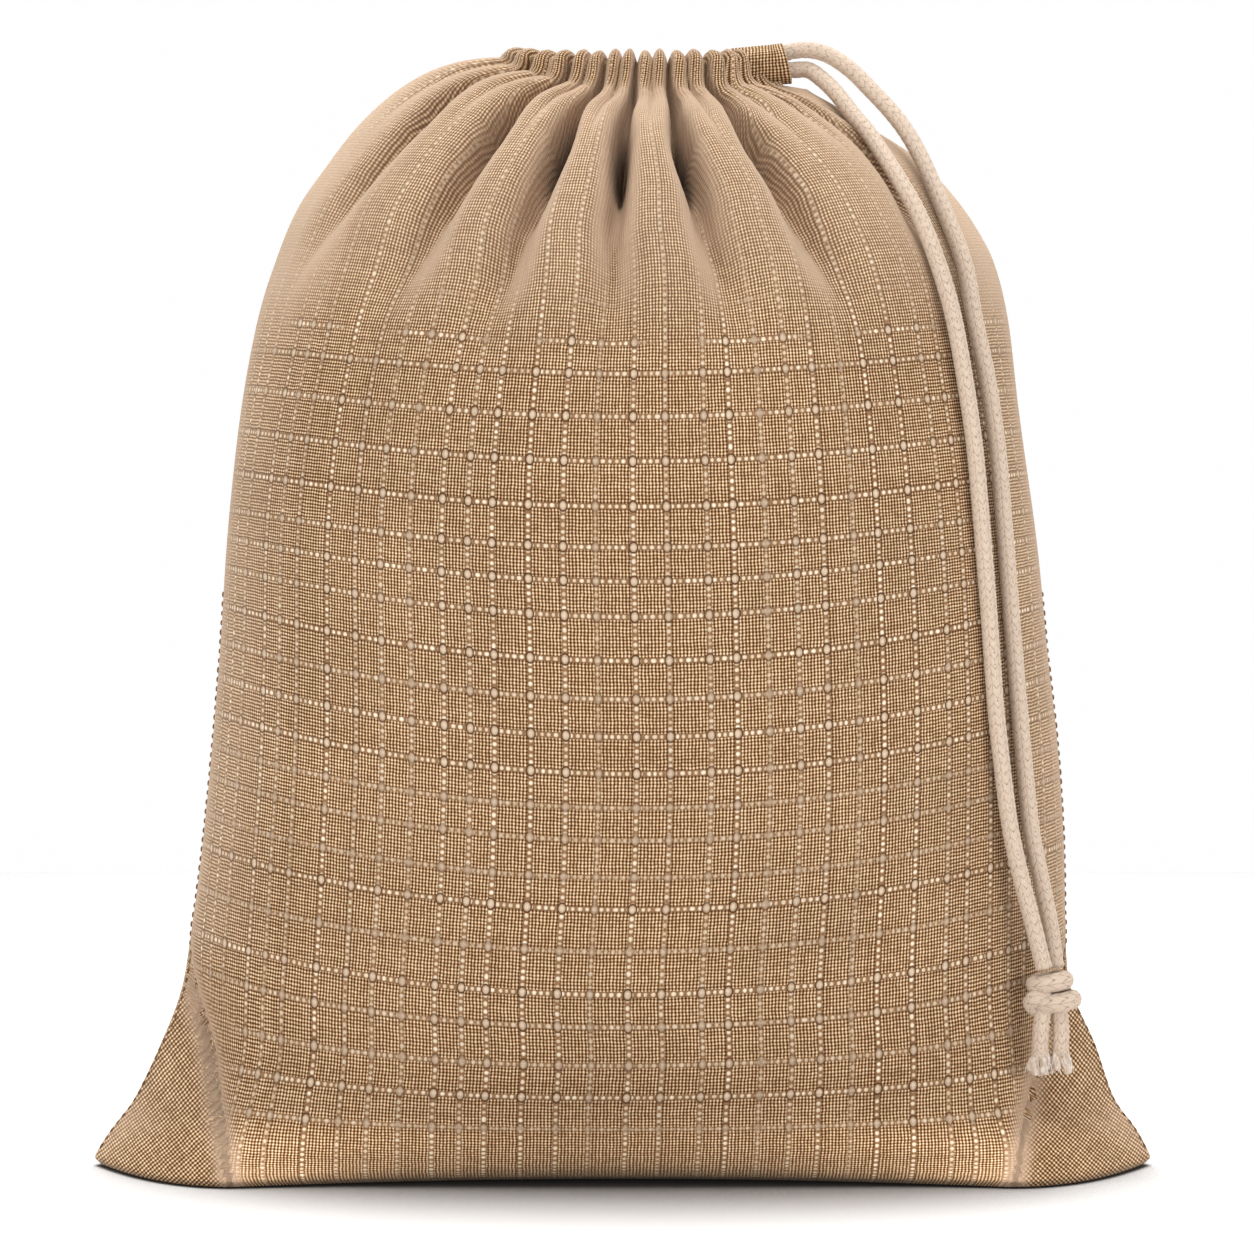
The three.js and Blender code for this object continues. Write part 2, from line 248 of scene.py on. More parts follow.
# Middle lines of the two legs, from the tunnel's open end over the shoulder to the knot
upperLegRoute = [
    (46.0, -2.0, 298.2), (50.4, -2.3, 298.3), (55.2, -3.9, 296.7), (60.7, -6.6, 292.6),
    (65.6, -9.8, 287.2), (71.0, -13.8, 280.7), (75.3, -17.4, 274.3), (79.2, -21.4, 266.2),
    (84.2, -27.8, 252.9), (89.1, -33.2, 238.5), (91.6, -35.2, 224.0), (95.0, -35.6, 208.0),
    (97.6, -35.6, 190.0), (99.3, -35.8, 170.0), (101.0, -36.2, 148.0), (102.9, -36.0, 125.5),
    (104.5, -35.6, 108.0), (106.4, -35.0, 91.0), (109.0, -34.4, 78.0), (111.2, -34.4, 67.0),
    (112.7, -35.0, 55.5),
]
lowerLegRoute = [
    (46.1, -1.6, 293.1), (49.8, -2.0, 293.0), (53.2, -5.2, 290.2), (56.8, -9.8, 285.9),
    (60.8, -15.2, 279.8), (65.0, -21.0, 273.7), (69.1, -26.8, 266.4), (73.2, -31.8, 258.9),
    (77.1, -35.4, 251.0), (81.3, -39.4, 239.5), (85.2, -41.2, 226.0), (88.4, -41.8, 209.0),
    (91.1, -41.9, 190.0), (93.0, -42.1, 169.0), (94.8, -42.6, 146.0), (96.4, -42.4, 124.0),
    (98.2, -41.4, 108.0), (100.4, -40.4, 92.0), (103.5, -39.8, 78.0), (106.6, -39.8, 66.0),
    (109.2, -40.1, 55.5),
]


# The short stretch of each leg inside the tunnel's open end
upperHidden = [(36.5, -2.4, 296.0), (41.5, -2.2, 297.0)]
lowerHidden = [(36.5, -1.6, 292.4), (41.5, -1.6, 292.8)]


def tubeFrames(line):
    # two directions across the line at each point, carried along without twist
    ahead = np.gradient(line, axis=0)
    ahead /= np.linalg.norm(ahead, axis=1)[:, None]
    side = np.cross(ahead[0], (0, 1, 0.2))
    sides = []
    for direction in ahead:
        side = side - direction * np.dot(side, direction)
        side /= np.linalg.norm(side)
        sides.append(side)
    sides = np.array(sides)
    return sides, np.cross(ahead, sides)


def cordTube(name, route, radius=cordLook["radius"], material=None, closed=False, squeeze=None):
    # a braided tube with a real low relief; the UV map has turns round it and millimetres along it
    line, reach = curveThrough(list(route) + ([route[0]] if closed else []), cordLook["step"])
    if closed:
        line, reach = line[:-1], reach
    sides, others = tubeFrames(line)
    count, around = len(line), cordLook["sides"]
    turn = np.arange(around) / around
    angle = 2 * np.pi * turn
    column = np.abs((turn * cordLook["columns"]) % 1 - 0.5) * 2
    relief = np.abs(np.sin(np.pi * (reach[:count, None] / cordLook["chevron"] + 0.6 * column)))
    swell = radius * (1 + cordLook["relief"] * (relief * (1 - column ** 4) - 0.7))
    if squeeze is not None:
        swell = swell * squeeze(np.linspace(0, 1, count))[:, None]
    ring = (line[:, None] + swell[..., None] * (np.cos(angle)[None, :, None] * sides[:, None]
                                               + np.sin(angle)[None, :, None] * others[:, None]))
    points = ring.reshape(-1, 3)
    faces, corners = [], []
    rows = count if closed else count - 1
    for r in range(rows):
        low, high = r * around, ((r + 1) % count) * around
        for k in range(around):
            n = (k + 1) % around
            faces.append((low + k, low + n, high + n, high + k))
            u0, u1, v0, v1 = k / around, (k + 1) / around, reach[r], reach[r + 1]
            corners += [(u0, v0), (u1, v0), (u1, v1), (u0, v1)]
    if not closed:
        for start, order in ((0, -1), ((count - 1) * around, 1)):
            faces.append([start + k for k in range(around)][::order])
            corners += [(0.5, reach[0])] * around
    return meshPiece(name, points * mm, faces, {"braid": corners}, material), line


def braidMaterial():
    s = Shader("braided_cotton")
    turn, along = s.uv("braid")
    column = s.times(s.calc("ABSOLUTE", s.minus(s.calc("FRACT", s.times(
        turn, float(cordLook["columns"]))), 0.5)), 2.0)
    stitch = s.plus(s.calc("DIVIDE", along, cordLook["chevron"]), s.times(column, 0.6))
    lobe = s.calc("ABSOLUTE", s.calc("SINE", s.times(stitch, math.pi)))
    fibres = s.cloud(s.pair(s.times(turn, 70.0), s.times(along, 0.9)), 1.0, 3.0)
    shade = s.times(s.ramp(lobe, 0.0, 0.5), s.ramp(column, 1.05, 0.8))
    colour = s.mix(shade, (0.34, 0.25, 0.18, 1), (0.55, 0.43, 0.335, 1))
    colour = s.mix(s.ramp(fibres, 0.38, 0.72), colour, (0.65, 0.53, 0.43, 1))
    # small brown flecks, one here and there where two strands cross
    fleckCell = s.calc("DIVIDE", along, 3.1)
    columnId = s.calc("FLOOR", s.times(turn, float(cordLook["columns"])))
    fleckPlace = s.calc("ABSOLUTE", s.minus(s.calc("FRACT", fleckCell), 0.5))
    fleck = s.times(s.ramp(fleckPlace, 0.11, 0.04), s.ramp(column, 0.26, 0.12))
    chosen = s.calc("GREATER_THAN", s.chance(s.calc("FLOOR", fleckCell), columnId), 0.5)
    colour = s.mix(s.times(s.times(fleck, chosen), 0.55), colour, (0.20, 0.13, 0.08, 1))
    height = s.plus(s.times(shade, 0.25), s.times(fibres, 0.4))
    return s.finish(colour, height, 0.22 * mm, 0.85, 0.2, (1.0, 0.95, 0.88, 1))


cordMaterial = braidMaterial()
upperLeg, upperLine = cordTube("drawcord_outer", upperHidden + upperLegRoute, material=cordMaterial)
lowerLeg, lowerLine = cordTube("drawcord_inner", lowerHidden + lowerLegRoute, material=cordMaterial)
print("cord legs:", len(upperLine), "and", len(lowerLine), "rings")


# Knot and cord ends
knotLook = {"middle": (111.4, -37.4, 48.9)}
tailLook = {
    "radius": 2.15, "braided": 0.74, "looseFrom": 0.6,
    "rootRadius": 1.25, "tipRadius": 2.9, "opens": 1.3, "curl": 1.2, "lengths": (0.74, 1.06),
    "strands": 7, "strandRadius": 0.86, "fibres": 36, "fibreRadius": 0.09,
    "sunflower": 2.4, "twist": 1.1, "points": 14, "sides": 8,
}


def leaningLoop(x, z, halfWidth, halfDepth, lean, points=14):
    # middle line of one wrap, an oval that rises to the right
    middle = np.array(knotLook["middle"])
    loop = []
    for k in range(points):
        a = 2 * math.pi * k / points
        across, out = halfWidth * math.cos(a), halfDepth * math.sin(a)
        loop.append(middle + (x + across * math.cos(lean), out, z + across * math.sin(lean)))
    return loop


upperWrap, _ = cordTube("knot_upper_wrap", leaningLoop(-0.4, 2.9, 3.9, 3.2, math.radians(9)), 2.45,
                        cordMaterial, closed=True)
lowerWrap, _ = cordTube("knot_lower_wrap", leaningLoop(1.2, -2.1, 4.3, 3.5, math.radians(9)), 2.5,
                        cordMaterial, closed=True)
k = np.array(knotLook["middle"])
lobe, _ = cordTube("knot_lobe", [k + (-1.0, -2.2, -1.2), k + (-4.0, -2.6, -0.9), k + (-5.4, -1.0, -2.4),
                                 k + (-3.6, -0.6, -4.0), k + (-0.8, -0.6, -3.9)], 2.3, cordMaterial)


def geometryTree(name, inputs):
    # an empty tree with these named inputs
    tree = bpy.data.node_groups.new(name, "GeometryNodeTree")
    tree.interface.new_socket("Geometry", in_out="OUTPUT", socket_type="NodeSocketGeometry")
    for label, kind in inputs.items():
        tree.interface.new_socket(label, in_out="INPUT", socket_type="NodeSocket" + kind)
    n = NodeTree(tree)
    return n, n.node("NodeGroupInput").outputs


def finishTree(n, geometry, material):
    real = n.made("GeometryNodeRealizeInstances", {"Geometry": geometry})
    dressed = n.made("GeometryNodeSetMaterial", {"Geometry": real.outputs[0], "Material": material})
    n.plug(n.node("NodeGroupOutput").inputs[0], dressed.outputs[0])
    return n.tree


def strandTree():
    # strands that start side by side inside the cord and part towards the tip
    n, given = geometryTree("loose_strands", {
        "Base": "Vector", "Tip": "Vector", "Strands": "Int", "Strand radius": "Float",
        "Root spread": "Float", "Tip spread": "Float", "Curl": "Float", "Seed": "Int",
        "Material": "Material"})
    line = n.made("GeometryNodeCurvePrimitiveLine", {"Start": given["Base"], "End": given["Tip"]})
    copies = n.made("GeometryNodeDuplicateElements", {
        "Geometry": line.outputs[0], "Amount": given["Strands"]}, domain="SPLINE")
    number = copies.outputs["Duplicate Index"]
    fine = n.made("GeometryNodeResampleCurve", {"Curve": copies.outputs[0], "Count": tailLook["points"]})
    down = n.node("GeometryNodeSplineParameter").outputs["Factor"]
    opened = n.calc("POWER", down, tailLook["opens"])
    # sunflower places across the cord, pushed apart towards the tip
    turn = n.plus(n.times(number, tailLook["sunflower"]), n.times(down, tailLook["twist"]))
    share = n.calc("SQRT", n.calc("DIVIDE", n.plus(number, 0.5), given["Strands"]))
    wider = n.times(opened, n.minus(given["Tip spread"], given["Root spread"]))
    out = n.times(share, n.plus(given["Root spread"], wider))
    across = n.pair(n.times(out, n.calc("COSINE", turn)), n.times(out, n.calc("SINE", turn)))
    # each strand has its own length and its own bends
    length = n.random(*tailLook["lengths"], given["Seed"], number)
    way = n.vector("SUBTRACT", given["Tip"], given["Base"])
    middle = n.vector("ADD", given["Base"], n.vector("SCALE", way, n.times(down, length)))
    where = n.pair(n.times(number, 3.7), n.times(down, 1.3), given["Seed"])
    bends = n.made("ShaderNodeTexNoise", {"Vector": where, "Scale": 1.0}, noise_dimensions="3D")
    aside = n.vector("SUBTRACT", bends.outputs["Color"], (0.5, 0.5, 0.5))
    aside = n.vector("SCALE", aside, n.times(opened, given["Curl"]))
    place = n.vector("ADD", n.vector("ADD", middle, across), aside)
    moved = n.made("GeometryNodeSetPosition", {"Geometry": fine.outputs[0], "Position": place})
    taper = n.plus(0.8, n.times(n.calc("SINE", n.times(down, 2.9)), 0.35))
    ring = n.made("GeometryNodeCurvePrimitiveCircle", {"Resolution": tailLook["sides"], "Radius": 1.0})
    tube = n.made("GeometryNodeCurveToMesh", {
        "Curve": moved.outputs[0], "Profile Curve": ring.outputs[0],
        "Scale": n.times(given["Strand radius"], taper), "Fill Caps": True})
    return finishTree(n, tube.outputs[0], given["Material"])


def plainMesh(tree, name, values, line=()):
    # the tree's result for these inputs as a plain mesh; a line's points go in as its geometry
    path = bpy.data.meshes.new(name)
    path.from_pydata([tuple(point) for point in line], [(i, i + 1) for i in range(len(line) - 1)], [])
    blank = bpy.data.objects.new(name, path)
    scene.collection.objects.link(blank)
    modifier = blank.modifiers.new("nodes", "NODES")
    modifier.node_group = tree
    for socket in tree.interface.items_tree:
        if socket.in_out == "INPUT" and socket.name in values:
            modifier[socket.identifier] = values[socket.name]
    blank.update_tag()
    graph = bpy.context.evaluated_depsgraph_get()
    made = bpy.data.meshes.new_from_object(blank.evaluated_get(graph))
    blank.modifiers.remove(modifier)
    bpy.data.objects.remove(blank)
    return made


def looseMaterial():
    s = Shader("loose_cotton")
    spot = s.node("ShaderNodeTexCoord").outputs["Object"]
    fibres = s.cloud(s.vector("MULTIPLY", spot, (2600.0, 2600.0, 300.0)), 1.0, 3.0)
    tufts = s.cloud(spot, 420.0, 2.0)
    colour = s.mix(s.ramp(fibres, 0.3, 0.7), (0.50, 0.385, 0.295, 1), (0.68, 0.555, 0.455, 1))
    colour = s.mix(s.ramp(tufts, 0.4, 0.75), colour, (0.84, 0.76, 0.69, 1))
    return s.finish(colour, fibres, 0.15 * mm, 0.9, 0.3, (1.0, 0.95, 0.88, 1))


looseCotton = looseMaterial()
looseStrands = strandTree()


def frayedTail(name, base, tip, seed):
    # a short braided end, then thick loose strands of the braid with fine fibres round them
    base, tip, look = np.array(base), np.array(tip), tailLook
    bow = np.array([0.3 if tip[0] > base[0] else -0.3, -0.3, 0])
    braidedEnd = base + (tip - base) * look["braided"]
    route = [base, (base + braidedEnd) / 2 + bow, braidedEnd]
    piece, _ = cordTube(name, route, look["radius"], cordMaterial)
    whole = bmesh.new()
    whole.from_mesh(piece.data)
    braidedFaces = len(whole.faces)
    for strands, radius, spread, curl in ((look["strands"], look["strandRadius"], 1, 1),
                                          (look["fibres"], look["fibreRadius"], 1.3, 2.5)):
        whole.from_mesh(plainMesh(looseStrands, name, {
            "Base": (base + (tip - base) * look["looseFrom"]) * mm, "Tip": tip * mm, "Strands": strands,
            "Strand radius": radius * mm, "Root spread": look["rootRadius"] * spread * mm,
            "Tip spread": look["tipRadius"] * spread * mm, "Curl": look["curl"] * curl * mm, "Seed": seed,
            "Material": looseCotton}))
    whole.faces.ensure_lookup_table()
    for face in whole.faces[braidedFaces:]:
        face.material_index = 1
    bmesh.ops.recalc_face_normals(whole, faces=whole.faces)
    whole.to_mesh(piece.data)
    whole.free()
    piece.data.polygons.foreach_set("use_smooth", [True] * len(piece.data.polygons))
    piece.data.materials.append(looseCotton)
    return piece


leftTail = frayedTail("cord_tail_left", k + (-2.2, -1.6, -3.0), k + (-3.6, -2.2, -20.8), 3)
rightTail = frayedTail("cord_tail_right", k + (1.9, -0.9, -3.0), k + (2.3, -1.2, -20.2), 8)
print("tails:", len(leftTail.data.polygons), "and", len(rightTail.data.polygons), "faces")


# Cloth: sections and folds
clothLook = {
    "threadPitch": 0.89,  # one ground thread, across and along
    "threadsPerFace": 325,
    "thickness": 1.1,
    "columns": 224,  # on one face, from seam to seam
    "ruffleHeight": 3.0,
    "uprightGap": (6.2, 12.0),  # ground threads between two slub yarns
    "levelGap": (8.6, 13.2),
    "mostHidden": 0.15,  # threads that go into a valley, for each on the open cloth
    "waves": 1.1,
    "insideEvery": 2,  # the inside wall has each second column and each third row
    "insideRows": 3,
    "seed": 11,
}

# The bag's sections from the patch on the floor up to the neck, the same as in the solids
sectionNames = ("left", "leftZ", "right", "rightZ", "midZ", "depth", "crease", "creaseDepth")
sections = [
    (-139.6, 0, 139.6, 0, 0, 31, 100, 48),
    (-141.4, 1.6, 141.4, 1.6, 1.6, 39, 100, 50),
    (-140.2, 4.6, 140.4, 4.6, 5, 46, 101, 48),
    (-136.6, 10, 137.4, 10, 11.5, 52, 102, 44),
    (-130.6, 18, 131.8, 18, 21, 56.5, 105, 30),
    (-124, 32, 126.8, 32, 34, 60, 109, 17),
    (-118.4, 47, 120.4, 47, 48, 62.5, 114, 7),
    (-116, 62, 119.2, 62, 62, 64.5, 117.6, 0),
    (-112.9, 84, 118.4, 84, 82, 66.5, 115.65, 0),
    (-109.8, 110, 116.5, 110, 108, 68.5, 113.15, 0),
    (-107.2, 140, 113.3, 140, 136, 70, 110.25, 0),
    (-104.8, 172, 109.8, 172, 166, 70, 107.3, 0),
    (-101.5, 202, 106.3, 202, 195, 68.5, 103.9, 0),
    (-97.2, 226, 103.3, 226, 219, 65, 100.25, 0),
    (-92.1, 242.3, 99.3, 241, 234.5, 60.5, 95.7, 0),
    (-86.5, 255.5, 93.5, 251.5, 246, 55.5, 90, 0),
    (-79, 266.5, 87.5, 259.5, 255.5, 50, 83.25, 0),
    (-71, 277, 80, 267.5, 263.5, 44.5, 75.5, 0),
    (-62.6, 285, 72, 273, 270.5, 38.5, 67.3, 0),
    (-54, 291, 64, 277.6, 275.6, 32.5, 59, 0),
    (-45, 294.6, 57.2, 282.6, 279.2, 27.2, 51.1, 0),
    (-37, 295.4, 50.5, 286.4, 282.2, 22.6, 43.75, 0),
]

# Valleys that fan out of the drawn mouth: place between the seams at the top and at the foot,
# depth, width low down, and the height at which the valley has run out
frontFolds = [
    (0.165, 0.105, 11, 9, 226), (0.285, 0.242, 14, 10, 212), (0.385, 0.342, 18, 9, 201),
    (0.475, 0.478, 18, 8, 199), (0.568, 0.612, 18, 9, 201), (0.675, 0.728, 14, 10, 208),
    (0.850, 0.830, 11, 8, 232),
]
backFolds = [
    (0.130, 0.095, 10, 8, 230), (0.240, 0.205, 13, 9, 210), (0.355, 0.330, 17, 9, 204),
    (0.462, 0.455, 16, 9, 198), (0.575, 0.590, 17, 9, 206), (0.690, 0.730, 14, 9, 212),
    (0.830, 0.880, 11, 8, 228),
]
# (height, share) pairs
foldDepthByHeight = (
    (198, 0.1), (214, 0.2), (232, 0.36), (245, 0.48), (256, 0.68), (264, 1.0), (270, 1.2), (274, 1.05),
    (278, 0.55), (283, 0.32), (288, 0.22), (296, 0.12),
)
foldWidthByHeight = (
    (200, 1.2), (232, 0.75), (245, 0.52), (256, 0.38), (264, 0.33), (270, 0.29), (274, 0.21), (278, 0.13),
    (284, 0.1), (296, 0.1),
)
ridgeRise = {"height": 3.4, "outermost": 0.3, "from": 206, "full": 262, "fading": 276, "gone": 290}

# How far the level threads sink from the seams to the middle
levelSag = ((0, 3), (20, 6), (55, 13), (98, 15), (144, 15), (172, 11), (205, 10), (240, 8), (300, 5))

# The middle of a bottom corner's crease: how far out, how high
earMiddle = (106, 29)

# The grooves of the gathered tunnel, of which each fourth or so runs on into a valley
frontGrooves = (
    0, 0.045, 0.1, 0.165, 0.225, 0.285, 0.335, 0.385, 0.43, 0.475, 0.52, 0.568, 0.62, 0.675, 0.735, 0.795,
    0.85, 0.905, 1,
)
backGrooves = (
    0, 0.06, 0.13, 0.185, 0.24, 0.3, 0.355, 0.41, 0.462, 0.515, 0.575, 0.63, 0.69, 0.76, 0.83, 0.9, 0.95, 1,
)

# The tunnel round the mouth: added to the ring's half sizes, and height above the pinch
tunnelRows = ((0.5, 0.2), (0.1, 1.4), (-0.2, 2.8), (-0.3, 4.4), (-0.3, 6.0), (-0.4, 7.6), (-0.9, 9.1),
              (-1.8, 10.2), (-3.0, 10.6), (-4.3, 10.2), (-5.3, 9.0), (-6.0, 7.0), (-6.3, 5.0), (-6.5, 2.4))
tunnelLook = {
    "halfWidth": 39, "halfDepth": 19, "middleX": 6.5, "pinch": 285, "endX": 42.5,
    "leftFoot": 295.6, "leftShare": 0.2, "rightRise": 4.2,
    "taper": 0.66, "taperFrom": 0.5, "taperTo": 0.82, "blended": (272, 292), "passes": 10,
}

# The tunnel's open end at the right, a short sleeve from which both cords come
sleeveLook = {
    "line": ((29.0, -3.8, 293.2), (36.0, -2.8, 294.0), (44.0, -2.1, 294.8)),
    "radius": 5.35, "wall": 0.9, "lean": 1.3, "around": 60, "rings": 16, "reachIn": 7.0,
}


def sectionAt(t):
    # all the numbers of a section between two rows of the table, on a smooth line
    table = np.array(sections)
    i = min(int(t), len(table) - 2)
    f = t - i
    a, b, c, d = (table[max(0, min(len(table) - 1, j))] for j in (i - 1, i, i + 1, i + 2))
    row = between(a, b, c, d, f) if i > 0 else b + (c - b) * f
    return dict(zip(sectionNames, row))


def sectionLine(section, side):
    half = (section["right"] - section["left"]) / 2
    across = np.abs(side) * half
    crease = min(section["crease"], half)
    creaseDepth = max(section["creaseDepth"], 0)
    bulge = section["depth"] - creaseDepth
    inner = creaseDepth + bulge * np.clip(1 - (across / crease) ** 2, 0, 1) ** (0.5 if bulge > 0 else 1)
    outward = np.clip((across - crease) / (half - crease + 1e-9), 0, 1)
    depth = np.where(across < crease, inner, creaseDepth * (1 - outward ** 2))
    sideZ = np.where(side < 0, section["leftZ"], section["rightZ"])
    return np.stack([(section["left"] + section["right"]) / 2 + side * half, -depth,
                     section["midZ"] + (sideZ - section["midZ"]) * side ** 2], axis=1)


def tunnelLine(row, side):
    spread, rise = row
    look = tunnelLook
    oval = (1 - np.abs(side) ** 2.6) ** (1 / 2.2)
    taper = 1 - look["taper"] * smooth(side, look["taperFrom"], look["taperTo"])
    # at the left the shoulder runs on into the rim, at the right the tunnel ends in its open sleeve
    plain = look["pinch"] + rise
    leftEnd = look["leftFoot"] + look["leftShare"] * rise
    height = plain + np.where(side < 0, leftEnd - plain, look["rightRise"]) * side ** 4
    return np.stack([look["middleX"] + (look["halfWidth"] + spread) * side,
                     -(look["halfDepth"] + spread) * oval * taper,
                     height], axis=1)


def spreadEvenly(lineAt, columns):
    side = -np.cos(np.pi * np.arange(801) / 800)
    line = lineAt(side)
    reach = np.concatenate([[0], np.cumsum(np.linalg.norm(np.diff(line, axis=0), axis=1))])
    wanted = np.linspace(0, reach[-1], columns + 1)
    places = np.stack([np.interp(wanted, reach, line[:, k]) for k in range(3)], axis=1)
    return places, np.interp(wanted, reach, side)


def rowPlaces():
    # places in the table of sections, closer together on the floor, at the shelf and in the folds
    fine = np.linspace(0, len(sections) - 1, 421)
    middle = np.array([sectionLine(sectionAt(t), np.zeros(1))[0] for t in fine])
    reach = np.concatenate([[0], np.cumsum(np.linalg.norm(np.diff(middle, axis=0), axis=1))])
    places, at = [], 0.0
    while at < reach[-1]:
        places.append(at)
        at += np.interp(at, [0, 14, 50, 62, 190, 205, reach[-1]], [1.0, 1.4, 2.0, 3.6, 3.4, 1.6, 1.3])
    places.append(reach[-1])
    return np.interp(places, reach, fine), np.array(places)


def baseGrid():
    # rows of points round the whole bag (front left to right, back right to left), before the folds
    columns = clothLook["columns"]
    places, reach = rowPlaces()
    lines, sides, heights = [], [], []
    for t in places:
        section = sectionAt(t)
        line, side = spreadEvenly(lambda s: sectionLine(section, s), columns)
        lines.append(line)
        sides.append(side)
        heights.append(section["midZ"])
    for row in tunnelRows:
        line, side = spreadEvenly(lambda s: tunnelLine(row, s), columns)
        lines.append(line)
        sides.append(side)
        heights.append(tunnelLook["pinch"] + row[1])
    lines, sides = np.array(lines), np.array(sides)
    # the corner between the shoulders and the upright tunnel is a soft one
    low, high = np.searchsorted(heights, tunnelLook["blended"])
    high = min(high, len(places) + 7)
    for _ in range(tunnelLook["passes"]):
        lines[low:high] = (lines[low - 1:high - 1] + 2 * lines[low:high] + lines[low + 1:high + 1]) / 4
    back = lines[:, -2:0:-1] * (1, -1, 1)
    rings = np.concatenate([lines, back], axis=1)
    ringSides = np.concatenate([sides, sides[:, -2:0:-1]], axis=1)
    across = np.concatenate([np.linspace(0, 1, columns + 1), np.linspace(1, 0, columns + 1)[1:-1]])
    onFront = np.arange(rings.shape[1]) <= columns
    return rings, ringSides, across, onFront, np.array(heights), len(places), reach


def ringNormals(rings):
    along = np.roll(rings, -1, axis=1) - np.roll(rings, 1, axis=1)
    up = np.gradient(rings, axis=0)
    normal = np.cross(along, up)
    return normal / (np.linalg.norm(normal, axis=2)[..., None] + 1e-12)


def foldShape(rings, across, onFront, heights):
    # how far the cloth is drawn in at each point, and how much cloth hides there
    lift = np.zeros(rings.shape[:2])
    hidden = np.zeros(rings.shape[:2])
    halfGirth = np.linalg.norm(np.diff(rings[:, :clothLook["columns"] + 1], axis=1), axis=2).sum(axis=1)
    depthAt = np.interp(heights, *zip(*foldDepthByHeight))
    depthAt[-len(tunnelRows) + 6:] = 0.08
    widthAt = np.interp(heights, *zip(*foldWidthByHeight))
    rise = smooth(heights, ridgeRise["from"], ridgeRise["full"])
    rise = rise * (1 - smooth(heights, ridgeRise["fading"], ridgeRise["gone"])) * ridgeRise["height"]
    for face, folds in ((onFront, frontFolds), (~onFront, backFolds)):
        valleys = [np.zeros_like(heights)]
        for top, foot, depth, width, reach in folds:
            growth = np.clip((heights - reach) / (266 - reach), 0, 1)
            place = foot + (top - foot) * growth
            valleys.append(place)
            distance = np.abs(across[None, :] - place[:, None]) * halfGirth[:, None]
            spread = (width * widthAt)[:, None]
            near = np.exp(-(distance / spread) ** 2)
            drawn = (depth * depthAt * smooth(heights, reach, reach + 34))[:, None] * near
            lift -= np.where(face, drawn, 0)
            hidden += np.where(face, drawn / spread, 0)
        valleys.append(np.ones_like(heights))
        for low, high in zip(valleys, valleys[1:]):
            f = (across[None, :] - low[:, None]) / (high - low)[:, None]
            arch = np.where((f > 0) & (f < 1), (4 * f * (1 - f)).clip(0, 1) ** 0.8, 0)
            share = ridgeRise["outermost"] if low is valleys[0] or high is valleys[-1] else 1
            lift += np.where(face, arch * rise[:, None] * share, 0)
    return lift, hidden


def ruffleShape(across, onFront, heights):
    # rounded ruffles with sharp grooves between them, each a little larger or smaller than the next
    grow = smooth(heights, 260, 283)
    shape = np.zeros((len(heights), len(across)))
    rng = np.random.default_rng(clothLook["seed"] + 5)
    for face, grooves in ((onFront, frontGrooves), (~onFront, backGrooves)):
        for low, high in zip(grooves, grooves[1:]):
            f = (across - low) / (high - low)
            inside = (f >= 0) & (f < 1) & face
            plain = 0.25 if high == 1 or low == 0 else rng.uniform(0.75, 1.2)
            arch = (4 * f * (1 - f)).clip(0, 1) ** 0.55 - 0.66
            shape += np.where(inside, arch * plain, 0)[None, :] * grow[:, None]
    return shape * clothLook["ruffleHeight"]


def buildCloth():
    rings, ringSides, across, onFront, heights, wallRows, middleReach = baseGrid()
    normals = ringNormals(rings)
    lift, hidden = foldShape(rings, across, onFront, heights)
    lift += ruffleShape(across, onFront, heights)
    # soft unevenness of cloth that is filled and stands by itself
    waves = np.zeros_like(lift)
    for r in range(rings.shape[0]):
        for c in range(0, rings.shape[1]):
            x, y, z = rings[r, c]
            waves[r, c] = noise.noise(Vector((x * 0.016, y * 0.016 + 7, z * 0.022)))
    standing = smooth(heights, 4, 40) * (1 - smooth(heights, 240, 275))
    lift += waves * clothLook["waves"] * standing[:, None]
    outer = rings + normals * lift[..., None]
    # the rim is scalloped, as each ruffle goes over the top
    rim = smooth(heights, 289, 295)
    outer[..., 2] += ruffleShape(across, onFront, heights) * 0.22 * rim[:, None]
    outer[wallRows:, :, 0] = np.minimum(outer[wallRows:, :, 0], tunnelLook["endX"])
    return rings, normals, outer, hidden, ringSides, across, onFront, heights, wallRows, middleReach


